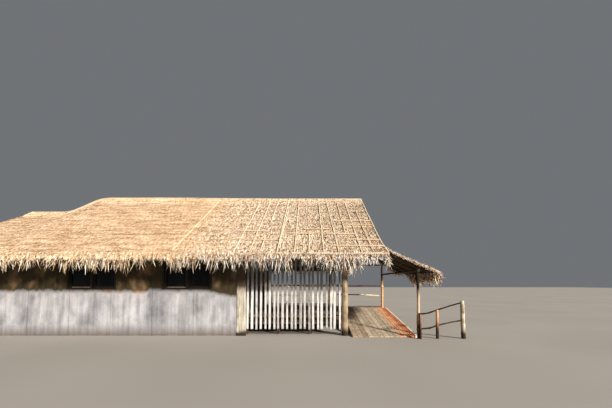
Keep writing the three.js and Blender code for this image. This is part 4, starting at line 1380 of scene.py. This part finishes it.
@dataclass
class Rooms:
    """Plastered walls, the floor, the doorway and the windows with their sashes."""

    shop: Workshop
    jamb: float = 0.06
    bar: float = 0.05
    sash_depth: float = 0.035
    sash_gap: float = 0.03

    def sash(self, name: str, ends: Point, heights: Point, depths: Point) -> bpy.types.Object:
        """Make one sash: four bars around a pane, mitred at the corners.

        Args:
            name: The piece's name.
            ends: The left and right ends of its outline.
            heights: The foot and the top of its outline.
            depths: The places across the wall of its outer and inner faces.

        Returns:
            The piece.
        """
        rings = []
        (outer, inner), bar = depths, self.bar
        for depth, inset in ((outer, 0.0), (outer, bar), (inner, bar), (inner, 0.0)):
            x0, x1, z0, z1 = ends[0] + inset, ends[1] - inset, heights[0] + inset, heights[1] - inset
            rings.append([(x0, depth, z0), (x1, depth, z0), (x1, depth, z1), (x0, depth, z1)])
        return loft(name, rings, capped=False)

    def build_window(self, side: Side, word: str) -> None:
        """Fit two sashes, and a bare weather bar at the foot of the left one.

        Args:
            side: The wall that the window is in.
            word: Left or right, as in the node's name.
        """
        name, s = f"{side.word}_{word}", side.value
        dress_nodes(Coat.FRAMES, f"window_frame_{name}")
        dress_nodes(Coat.GLASS, f"window_glass_{name}")
        low, high, middle = centre(f"window_frame_{name}")
        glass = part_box(f"window_glass_{name}")
        pane = s * (max(abs(corner.y) for corner in glass) + 0.002)
        heights = (low.z + self.jamb, high.z - self.jamb)
        ends = ((low.x + self.jamb, middle.x - self.sash_gap), (middle.x + self.sash_gap, high.x - self.jamb))
        for number, pair in enumerate(ends, 1):
            dress(self.sash(f"sash_{name}_{number}", pair, heights, (pane + s * self.sash_depth, pane)),
                  Coat.FRAMES)
        first, last = low.x + self.jamb + 0.11, middle.x - 0.05
        self.shop.bars.run(
            f"weather_bar_{name}", Coat.BARE_RAIL,
            Start=((first + last) / 2, pane + s * 0.06, low.z + 0.066), Size=(last - first, 0.04, 0.03),
            Turn=(s * 0.3, 0.0, 0.0), Seed=3)

    def build(self) -> None:
        """Finish the walls and fit the windows."""
        dress_nodes(Coat.PLASTER, "front_wall", "back_wall", "left_end_wall", "room_end_wall")
        dress_nodes(Coat.CEMENT, "raised_floor", "door_sill")
        dress_nodes(Coat.RED_POST, "door_frame")
        for side in Side:
            for word in ("left", "right"):
                self.build_window(side, word)


# The veranda


@dataclass
class Veranda:
    """The open bay: posts, deck, the screen of slats and the back railing."""

    shop: Workshop
    slat_count: int = 22
    slat_width: float = 0.068
    board_count: int = 23
    deck_reach: float = 3.09
    #: How square the wide posts are: 1 is round, 0 is square
    soft: float = 0.28
    #: The height and the radius of the screen's middle and lowest rails
    screen_rails: tuple[tuple[float, float], ...] = ((1.595, 0.016), (0.585, 0.026))
    #: The two ends of each mending lath, as place and height, and its radius at each end
    laths: tuple[tuple[float, ...], ...] = (
        (4.4, 2.02, 5.3, 2.025, 0.017, 0.015), (4.25, 1.553, 4.85, 1.55, 0.015, 0.014))
    #: The height of the back railing's lower rail
    back_rail_z: float = 1.05

    def build_posts(self, side: Side) -> None:
        """Build the wide post at the rooms' end of one side, and the trunk at its open end.

        Args:
            side: The side.
        """
        low, high, middle = centre(f"corner_post_{side.word}")
        rings = []
        for z in between(low.z, high.z, 40):
            flare = 0.012 * max(0.0, 1.0 - z / 0.9) - 0.004
            ring = []
            for k in range(24):
                c, d = math.cos(math.pi * k / 12), math.sin(math.pi * k / 12)
                x = math.copysign(abs(c) ** self.soft, c) * ((high.x - low.x) / 2 + flare)
                y = math.copysign(abs(d) ** self.soft, d) * ((high.y - low.y) / 2 + flare * 0.5)
                rough = 1 + 0.006 * waver(x * 14.0, y * 14.0, z * 2.2)
                ring.append((middle.x + x * rough, middle.y + y * rough, z))
            rings.append(ring)
        post = loft(f"wide_post_{side.word}", rings)
        round_off(post)
        dress(post, Coat.WIDE_POSTS, f"corner_post_{side.word}")

        _, high, (x, y, _) = centre(f"trunk_post_{side.word}")
        points = [(x, y, 0.0), (x, y, 0.7), (x + 0.012, y, 1.4), (x - 0.006, y, 2.0), (x, y, high.z)]
        self.shop.poles.sweep(
            f"trunk_{side.word}", Coat.POSTS if side is Side.FRONT else Coat.BACK_POSTS,
            [(points, 0.106, 0.092)], f"trunk_post_{side.word}", Step=0.05, Sides=16, Wobble=0.02,
            Bend_Size=0.9, Knot_Pitch=0.83, Knot=0.06, Seed=21)

    def build_deck(self) -> None:
        """Lay the deck's boards across the veranda."""
        low, high, middle = centre("veranda_deck")
        pitch = (high.x - low.x) / self.board_count
        self.shop.boards.run(
            "deck_boards", Coat.DECK, "veranda_deck", Start=(low.x + pitch / 2, 0.0, middle.z),
            Pitch=(pitch, 0.0, 0.0), Count=self.board_count,
            Size=(pitch - 0.008, 2 * self.deck_reach, high.z - low.z - 0.004),
            Size_Play=(0.002, 0.02, 0.002), Place_Play=(0.0, 0.006, 0.0015), Seed=12)
        dress_nodes(Coat.DECK, "deck_frame")

    def build_screen(self) -> None:
        """Stand the slats of the front screen against their rails, with two short laths as mends."""
        low, high, middle = centre("slat_screen")
        pitch = (high.x - low.x) / self.slat_count
        self.shop.boards.run(
            "screen_slats", Coat.SLATS, "slat_screen", Start=(low.x + pitch / 2, low.y + 0.0125, middle.z),
            Pitch=(pitch, 0.0, 0.0), Count=self.slat_count,
            Size=(self.slat_width, 0.022, high.z - low.z - 0.03), Size_Play=(0.012, 0.002, 0.0),
            Place_Play=(0.014, 0.002, 0.012), Turn_Play=(0.0, 0.005, 0.05), Seed=14)
        y = high.y - 0.026
        rails = ((high.z - 0.085, 0.026), *self.screen_rails)
        for number, (z, radius) in enumerate(rails, 1):
            self.shop.poles.sweep(
                f"screen_rail_{number}", Coat.POLES,
                [([(low.x, y, z), (high.x, y, z)], radius, radius * 0.92)], slot=Slot.PALE, Step=0.2,
                Sides=8, Wobble=0.004, Roughness=0.1, Seed=number)
        y = high.y - 0.02
        laths = [([(x0, y, z0), (x1, y, z1)], first, last) for x0, z0, x1, z1, first, last in self.laths]
        self.shop.poles.sweep("screen_laths", Coat.BATTEN, laths, slot=Slot.PALE, Step=0.1, Sides=8,
                              Wobble=0.006, Roughness=0.1, Seed=6)

    def build_railing(self) -> None:
        """Build the railing between the back posts."""
        low, high, middle = centre("veranda_back_railing")
        x, y = middle.x, middle.y
        poles = [([(low.x, y, z), (x, y, z - 0.01), (high.x, y, z)], 0.03, 0.027)
                 for z in (high.z - 0.03, self.back_rail_z)]
        poles += [([(at, y, low.z), (at, y, high.z)], 0.03, 0.028)
                  for at in (low.x + 0.03, x, high.x - 0.03)]
        self.shop.poles.sweep("back_rails", Coat.POSTS, poles, "veranda_back_railing", Seed=23)

    def build(self) -> None:
        """Build the whole bay."""
        for side in Side:
            self.build_posts(side)
        self.build_deck()
        self.build_screen()
        self.build_railing()


# The way in


@dataclass
class Entry:
    """The ramp with its planks and kerb, the landing and its railing."""

    shop: Workshop
    #: Where across the ramp its peach planks and then its red ones begin
    peach_x: float = 7.81
    red_x: float = 8.11
    #: The height of the ramp's top at its foot
    toe: float = 0.037
    #: How many boards the landing has
    board_count: int = 7
    #: The landing's legs along X, the slim post at its outer corner, and the bamboo post
    leg_x: tuple[float, ...] = (6.33, 7.285, 8.24)
    corner: tuple[float, float] = (8.34, 1.08)
    bamboo: tuple[float, float] = (8.19, 0.26)
    #: The railing's inner post, its posts' feet, and its upper and lower rails
    inner_x: float = 6.4
    post_foot: float = 0.62
    upper: float = 1.54
    lower: float = 1.11
    #: The lashings' middle and radius, then their heights: three at the upper rail, two at the lower
    lashing: tuple[float, float, float] = (8.171, 0.21, 0.054)
    lashing_z: tuple[float, ...] = (1.505, 1.53, 1.555, 1.1, 1.125)

    def build_ramp(self) -> None:
        """Lay the ramp's planks down its slope on stringers, and its edge board beside them."""
        low, high, middle = centre("ramp")
        run = high.y - low.y
        slope = (high.z - self.toe) / run
        tilt = math.atan(slope)
        parts = (("grey", Coat.GREY_PLANK, ("ramp",), low.x, self.peach_x, 9, low.y),
                 ("peach", Coat.PEACH_PLANK, (), self.peach_x, self.red_x, 3, low.y + 0.01),
                 ("red", Coat.RED_PLANK, (), self.red_x, high.x + 0.004, 2, low.y + 0.01))
        for word, coat, nodes, first, last, count, foot in parts:
            pitch, y = (last - first) / count, (foot + high.y) / 2
            self.shop.boards.run(
                f"ramp_{word}_planks", coat, *nodes,
                Start=(first + pitch / 2, y, self.toe + slope * (y - low.y) - 0.02), Pitch=(pitch, 0.0, 0.0),
                Count=count, Size=(pitch - 0.006, (high.y - foot) / math.cos(tilt) - 0.02, 0.034),
                Size_Play=(0.002, 0.008, 0.002), Place_Play=(0.0, 0.005, 0.002), Turn=(tilt, 0.0, 0.0),
                Turn_Play=(0.0, 0.004, 0.001), Seed=16)
        y = middle.y + 0.45
        self.shop.boards.run(
            "ramp_stringers", Coat.DECK,
            Start=(low.x + 0.05, y, self.toe + slope * (y - low.y) - 0.08),
            Pitch=((high.x - low.x - 0.1) / 2, 0.0, 0.0), Count=3,
            Size=(0.07, run / math.cos(tilt) - 1.15, 0.08), Turn=(tilt, 0.0, 0.0), Seed=17)
        self.build_kerb(low.y, slope)

    def build_kerb(self, ramp_foot: float, slope: float) -> None:
        """Fix the cream edge board, flush at the head of the ramp and proud at its foot.

        Args:
            ramp_foot: The place of the ramp's foot.
            slope: How much the ramp rises over 1 m.
        """
        low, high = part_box("ramp_kerb")
        steps, ease = 24, 0.008
        rings = []
        for i, y in enumerate(between(low.y, high.y, steps)):
            deck = self.toe + (y - ramp_foot) * slope
            top = deck + 0.022 - 0.02 * i / steps + 0.002 * waver(0.0, y * 3.0, 8.0)
            foot, sway = max(0.0, deck - 0.15), 0.004 * waver(3.0, y * 2.0, 8.0)
            left, right = low.x + sway, high.x + sway
            rings.append([(left, y, foot), (right, y, foot), (right, y, top - ease), (right - ease, y, top),
                          (left + ease, y, top), (left, y, top - ease)])
        dress(loft("ramp_edge_board", rings), Coat.KERB, "ramp_kerb")

    def build_landing(self) -> None:
        """Lay the landing's boards on its legs, with a red board at the head of the ramp."""
        low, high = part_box("landing")
        pitch = (high.y - low.y) / self.board_count
        for name, coat, nodes, start, end, first, count in (
            ("landing_head_board_grey", Coat.GREY_PLANK, (), low.x, self.peach_x, 0, 1),
            ("landing_head_board_red", Coat.RED_PLANK, (), self.peach_x, high.x, 0, 1),
            ("landing_boards", Coat.DECK, ("landing",), low.x, high.x, 1, self.board_count - 1),
        ):
            self.shop.boards.run(
                name, coat, *nodes, Start=((start + end) / 2, low.y + pitch * (first + 0.5), high.z - 0.022),
                Pitch=(0.0, pitch, 0.0), Count=count, Size=(end - start - 0.01, pitch - 0.008, 0.04),
                Size_Play=(0.005, 0.002, 0.002), Place_Play=(0.003, 0.0, 0.001), Seed=18)
        rows, z = (low.y + 0.06, high.y - 0.06), high.z - 0.07
        poles = [([(x, y, 0.0), (x, y, high.z - 0.09)], 0.048, 0.045) for x in self.leg_x for y in rows]
        poles += [([(low.x + 0.02, y, z), (high.x - 0.02, y, z)], 0.032, 0.032) for y in rows]
        self.shop.poles.sweep("landing_legs", Coat.POSTS, poles, Step=0.15, Wobble=0.004, Knot=0.05,
                              Roughness=0.1, Seed=19)

    def build_railing(self) -> None:
        """Build the landing's red rails and their posts."""
        low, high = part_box("landing_railing")
        (x, y), post = self.corner, self.bamboo
        foot, inner, upper, lower = self.post_foot, self.inner_x, self.upper, self.lower
        poles = [([(x, y, foot), (x, y, upper + 0.06)], 0.016, 0.016),
                 ([(inner, y, foot), (inner, y, high.z)], 0.04, 0.036),
                 ([(low.x, y, upper + 0.01), (7.3, y, upper), (x, y, upper + 0.005)], 0.034, 0.024),
                 # The lower rail's length in shade takes the dark red rails' finish, as painted shade; the
                 # pale rail spliced on below carries on where the sun falls.
                 ([(low.x, y, lower + 0.04), (7.42, y, lower + 0.025)], 0.03, 0.028),
                 ([(*post, upper), (x, y, upper)], 0.024, 0.022),
                 ([(*post, lower), (x, y, lower)], 0.024, 0.022)]
        self.shop.poles.sweep("landing_rails", Coat.RED_RAIL, poles, "landing_railing", Wobble=0.014,
                              Roughness=0.15, Seed=25)
        points = [(7.3, y - 0.06, lower + 0.03), (7.8, y - 0.04, lower), (8.24, y - 0.02, lower - 0.025)]
        self.shop.poles.sweep("landing_low_rail", Coat.PALE_RAIL, [(points, 0.034, 0.03)], Step=0.1,
                              Wobble=0.02, Roughness=0.15, Seed=26)
        x, y, radius = self.lashing
        turns = [math.pi * k / 6 for k in range(13)]
        ring = [(x + radius * math.cos(turn), y + radius * math.sin(turn)) for turn in turns]
        ties = [([(*spot, z) for spot in ring], 0.011, 0.011) for z in self.lashing_z]
        self.shop.poles.sweep("rail_lashings", Coat.BATTEN, ties, Step=0.02, Sides=6, Wobble=0.0,
                              Knot=0.0, Roughness=0.1, Seed=28)

    def build(self) -> None:
        """Build the whole way in."""
        self.build_ramp()
        self.build_landing()
        self.build_railing()


@dataclass
class Porch:
    """The porch posts and beams, the thatched canopy on them, and the entry fence."""

    shop: Workshop
    #: Place out from the gable and height of the top of the grass, down to the drooping lip
    profile: tuple[tuple[float, float], ...] = (
        (7.275, 2.79), (7.42, 2.69), (7.6, 2.6), (7.9, 2.462), (8.2, 2.333), (8.5, 2.215), (8.7, 2.138),
        (8.84, 2.078), (8.93, 2.018), (8.99, 1.935), (9.015, 1.84))
    #: How thick the grass is at the canopy's sides and in its middle
    edge_thin: float = 0.06
    middle_thick: float = 0.1
    #: The line of the crooked post and the fence, and the places of its posts along it
    front_y: float = -3.78
    crooked_x: float = 8.312
    near_x: float = 8.87
    far_x: float = 9.652
    #: The start of each pair of rails, and their heights there, at the near post and at the far one
    rails: tuple[tuple[float, float, float, float], ...] = (
        (8.3, 0.735, 0.85, 1.075), (8.235, 0.28, 0.39, 0.545))
    #: The ends of the bound lengths along the canopy's near side
    verge_x: tuple[float, ...] = (7.29, 7.6, 8.2, 8.7, 8.86, 8.96)
    #: The ledger's place out from the gable and its height, then the rafters' and laths' places
    ledger: Point = (7.32, 2.54)
    rafter_x: tuple[float, ...] = (7.3, 8.1, 8.87)
    rafter_y: tuple[float, ...] = (-3.8, -3.03, -2.26, -1.5)
    lath_x: tuple[float, ...] = (7.6, 8.0, 8.6)

    def canopy_top(self, x: float) -> float:
        """Give the height of the canopy's grass at a place out from the gable.

        Args:
            x: The place.

        Returns:
            The height.
        """
        for (x0, z0), (x1, z1) in zip(self.profile, self.profile[1:]):
            if x <= x1:
                return z0 + (z1 - z0) * (x - x0) / (x1 - x0)
        return self.profile[-1][1]

    def build_posts(self) -> None:
        """Build the bamboo post, the crooked post with its stake, and the beams on them."""
        sweep = self.shop.poles.sweep
        low, high, middle = centre("porch_post_back")
        x, y = middle.x - 0.025, middle.y
        sweep("bamboo_post", Coat.BAMBOO, [([(x, y, low.z), (x, y, high.z)], 0.05, 0.046)],
              "porch_post_back", Step=0.03, Sides=14, Wobble=0.008, Bend_Size=1.2, Knot_Pitch=0.36,
              Knot=0.16, Roughness=0.02, Seed=27)
        x, y, top = self.crooked_x, self.front_y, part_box("porch_post_front")[1].z
        points = [(x - 0.008, y, 0.0), (x - 0.01, y, 0.6), (x, y, 0.95), (x + 0.006, y, 1.3),
                  (x - 0.008, y, 1.6), (x - 0.024, y, top)]
        sweep("crooked_post", Coat.PORCH_POST, [(points, 0.046, 0.04)], "porch_post_front", Step=0.04,
              Sides=16, Wobble=0.012, Bend_Size=0.4, Knot_Pitch=0.62, Knot=0.12, Roughness=0.2, Seed=29)
        points = [(x + 0.026, y - 0.07, 0.0), (x + 0.03, y - 0.07, 0.73)]
        sweep("post_stake", Coat.RED_POST, [(points, 0.031, 0.028)], Step=0.03, Sides=12, Wobble=0.006,
              Knot_Pitch=0.3, Seed=30)
        low, high, middle = centre("porch_beam")
        x, z = middle.x, middle.z
        points = [(x, low.y, z), (x, high.y - 1.2, z), (x - 0.05, high.y + 0.08, z)]
        sweep("canopy_edge_pole", Coat.POLES, [(points, 0.042, 0.034)], "porch_beam", slot=Slot.GREY,
              Wobble=0.012, Seed=33)
        low, high, middle = centre("porch_cross_beam")
        points = [(low.x, middle.y, middle.z), (high.x, middle.y, middle.z)]
        sweep("landing_cross_pole", Coat.POLES, [(points, 0.045, 0.04)], "porch_cross_beam",
              slot=Slot.GREY, Seed=35)

    def canopy_section(self, y: float, edge: float) -> list[Point]:
        """Give the ring of points around the canopy's grass.

        Args:
            y: The place across the canopy.
            edge: The distance to the nearer of its two sides.

        Returns:
            The top from the gable outwards, then the underside back again.
        """
        wave = 0.006 * waver(0.0, y * 3.0, 4.0)
        share = min(1.0, edge / 0.35)
        first, (last, foot) = self.profile[0][0], self.profile[-1]
        top, under = [], []
        for j in range(37):
            x = first + (last - first) * math.sin(0.5 * math.pi * j / 36)
            sunk = (0.028 if x < 8.8 else 0.024) - 0.004 * waver(x * 8.0, y * 8.0, 4.0)
            top.append((x, y, self.canopy_top(x) + wave - sunk))
        for j in range(17):
            x = first + (last - 0.06 - first) * math.sin(0.5 * math.pi * j / 16)
            thin = self.edge_thin * (0.5 + (x - first) / (last - first))
            thick = thin + (self.middle_thick - thin) * share * (2.0 - share)
            under.append((x, y, self.canopy_top(x) - thick))
        return top + [(last - 0.03, y, foot - 0.02)] + under[::-1]

    def build_canopy(self) -> None:
        """Build the canopy's grass, its blades and its fringes."""
        low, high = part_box("canopy_thatch")
        rings = [self.canopy_section(y, min(y - low.y, high.y - y)) for y in between(low.y, high.y, 60)]
        grass = loft("canopy_grass", rings)
        dress(grass, Coat.PACKED, "canopy_thatch")
        first, last, tufts = self.profile[0][0], self.profile[-1][0], self.shop.tufts.run
        self.shop.blades.run(
            "canopy_blades", Coat.CANOPY_BLADES, base=grass.data,
            Low_Corner=(first + 0.03, low.y + 0.02, 0.0), High_Corner=(last - 0.16, high.y - 0.02, 0.0),
            Columns=34, Rows=160, Jitter=(0.03, 0.02, 0.0), Down=(0.9, 0.0, -0.42),
            Spread=(0.02, 0.08, 0.0), Radius=0.006, Seed=41)
        tufts("canopy_fringe_outer", Coat.CANOPY_FRINGE, Start=(last - 0.08, low.y + 0.03, 1.95),
              End=(last - 0.08, high.y - 0.03, 1.95), Row_Step=(-0.04, 0.0, 0.01), Columns=28, Rows=5,
              Way=(0.02, 0.0, -1.0), Spread=(0.12, 0.25, 0.0), Length=0.52, Unevenness=0.4, Clump=0.3,
              Gaps=0.25, Leaves=6, Leaf_Radius=0.012, Tuft_Radius=0.04, Curl=0.3, Seed=43)
        tufts("canopy_lip", Coat.CANOPY_BLADES, Start=(last - 0.21, low.y + 0.02, 2.06),
              End=(last - 0.21, high.y - 0.02, 2.06), Row_Step=(0.045, 0.0, -0.05), Columns=36, Rows=5,
              Way=(0.34, 0.0, -0.94), Spread=(0.12, 0.2, 0.1), Length=0.15, Leaf_Radius=0.009,
              Tuft_Radius=0.035, Curl=0.3, Seed=44)
        start, end, y = first + 0.7, last - 0.1, high.y - 0.03
        tufts("canopy_fringe_far", Coat.CANOPY_FRINGE, Start=(start, y, self.canopy_top(start) - 0.06),
              End=(end, y, self.canopy_top(end) - 0.06), Row_Step=(0.0, -0.012, -0.012), Columns=44,
              Rows=3, Way=(0.2, 0.1, -1.0), Spread=(0.15, 0.05, 0.1), Length=0.33, Unevenness=0.4,
              Clump=0.3, Gaps=0.35, Tuft_Radius=0.024, Seed=45)
        # The grass along the near side is bound in lengths that follow its curve.
        y = low.y + 0.02
        for number, (x0, x1) in enumerate(zip(self.verge_x, self.verge_x[1:]), 1):
            z0, z1 = (self.canopy_top(x) - 0.034 - 0.004 * number for x in (x0, x1))
            tufts(f"canopy_verge_{number}", Coat.CANOPY_BLADES, Start=(x0, y, z0), End=(x1, y, z1),
                  Row_Step=(0.0, -0.008, -0.004 * number), Columns=round(8 + 60 * (x1 - x0)), Rows=3,
                  Way=(x1 - x0, 0.0, z1 - z0), Spread=(0.0, 0.01, 0.004), Length=0.12 - 0.01 * number,
                  Leaves=5, Leaf_Radius=0.006, Tuft_Radius=0.006, Curl=0.03, Seed=60 + number)

    def build_frame(self) -> None:
        """Build the canopy's ledger, rafters and laths."""
        low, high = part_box("canopy_frame")
        (x, z), under = self.ledger, self.middle_thick + 0.028
        poles = [([(x, low.y, z), (x, high.y, z)], 0.038, 0.036)]
        poles += [([(x, y, self.canopy_top(x) - under) for x in self.rafter_x], 0.027, 0.024)
                  for y in self.rafter_y]
        poles += [([(x, y, self.canopy_top(x) - 0.11) for y in (self.rafter_y[0], self.rafter_y[-1])],
                   0.012, 0.011) for x in self.lath_x]
        self.shop.poles.sweep("canopy_poles", Coat.POLES, poles, "canopy_frame", Sides=8, Wobble=0.008,
                              Roughness=0.1, Seed=47)

    def build_fence(self) -> None:
        """Build the entry fence: a reddish post, a bleached post and two pairs of rails."""
        sweep, y, near, far = self.shop.poles.sweep, self.front_y, self.near_x, self.far_x
        sweep("fence_post_near", Coat.RED_POST, [([(near, y, 0.0), (near + 0.002, y, 0.86)], 0.046, 0.04)],
              Step=0.03, Sides=14, Knot_Pitch=0.31, Knot=0.08, Seed=49)
        sweep("fence_post_far", Coat.BLEACHED_POST,
              [([(far, y, 0.0), (far - 0.02, y, 1.13)], 0.066, 0.056)], Step=0.03, Sides=16,
              Wobble=0.014, Bend_Size=0.6, Roughness=0.14, Seed=50)
        poles = []
        for start, z0, z1, z2 in self.rails:
            poles += [([(start, y - 0.055, z0), (8.6, y - 0.03, z0 + 0.035), (near, y, z1)], 0.026, 0.023),
                      ([(near, y, z1), (9.25, y + 0.008, (z1 + z2) / 2 + 0.015), (far - 0.012, y, z2)],
                       0.024, 0.02)]
        sweep("fence_rails", Coat.BRANCH, poles, "entry_fence", Step=0.06, Sides=8, Wobble=0.02,
              Bend_Size=0.35, Knot=0.12, Roughness=0.2, Seed=52)

    def build(self) -> None:
        """Build the whole porch."""
        self.build_posts()
        self.build_canopy()
        self.build_frame()
        self.build_fence()


# The studio


@dataclass
class Studio:
    """A plain pale floor, soft light, and the camera at the photograph's viewing angle."""

    eye: Point = (5.026, -12.977, 1.651)
    pitch: float = math.radians(3.0)
    #: The focal length and the sensor's width in millimetres, then the shift of the picture
    lens: float = 17.81
    sensor: float = 36.0
    shift: tuple[float, float] = (-0.0059, 0.104)
    #: How far the camera sees
    far: float = 500.0
    towards_key: Point = (0.668, -0.623, 0.407)
    key: float = 5.2
    key_width: float = math.radians(5.0)
    key_colour: str = "#fff4e6"
    fill: float = 0.2
    fill_colour: str = "#e9eef5"
    floor_reach: float = 120.0

    def build(self) -> None:
        """Make the camera, the floor and the lights."""
        scene = bpy.context.scene
        data = bpy.data.cameras.new("camera")
        data.lens, data.sensor_width, data.clip_end = self.lens, self.sensor, self.far
        data.shift_x, data.shift_y = self.shift
        scene.camera = place("camera", data)
        scene.camera.location = self.eye
        scene.camera.rotation_euler = (math.pi / 2 + self.pitch, 0.0, 0.0)

        mesh, reach = bpy.data.meshes.new("studio_floor"), self.floor_reach
        corners = [(-reach, -reach, 0.0), (reach, -reach, 0.0), (reach, reach, 0.0), (-reach, reach, 0.0)]
        mesh.from_pydata(corners, [], [(0, 1, 2, 3)])
        mesh.materials.append(Coat.FLOOR.material)
        place("studio_floor", mesh)

        scene.world = bpy.data.worlds.new("studio_world")
        scene.world.use_nodes = True
        sky = scene.world.node_tree.nodes["Background"].inputs
        sky["Color"].default_value, sky["Strength"].default_value = linear(self.fill_colour), self.fill

        lamp = bpy.data.lights.new("key_light", "SUN")
        lamp.energy, lamp.angle, lamp.color = self.key, self.key_width, linear(self.key_colour)[:3]
        light = place("key_light", lamp)
        light.rotation_euler = Vector(self.towards_key).to_track_quat("Z", "Y").to_euler()
        scene.view_settings.view_transform = "Standard"


def main() -> None:
    """Build the studio and every sub-assembly in order."""
    logging.basicConfig(level=logging.INFO, format="%(name)s: %(message)s")
    Studio().build()
    shop = Workshop()
    slopes = {side: ThatchSlope(shop, side) for side in Side}
    for slope in slopes.values():
        slope.build()
        BattenNet(shop, slope.surface).build()
        FilmUnderlay(slope.surface).build()
    surfaces = {side: slope.surface for side, slope in slopes.items()}
    RidgeCap(shop, surfaces[Side.FRONT]).build()
    RoofTimber(shop, surfaces).build()
    for part in (Rooms, Veranda, Entry, Porch):
        part(shop).build()


if __name__ == "__main__":
    main()
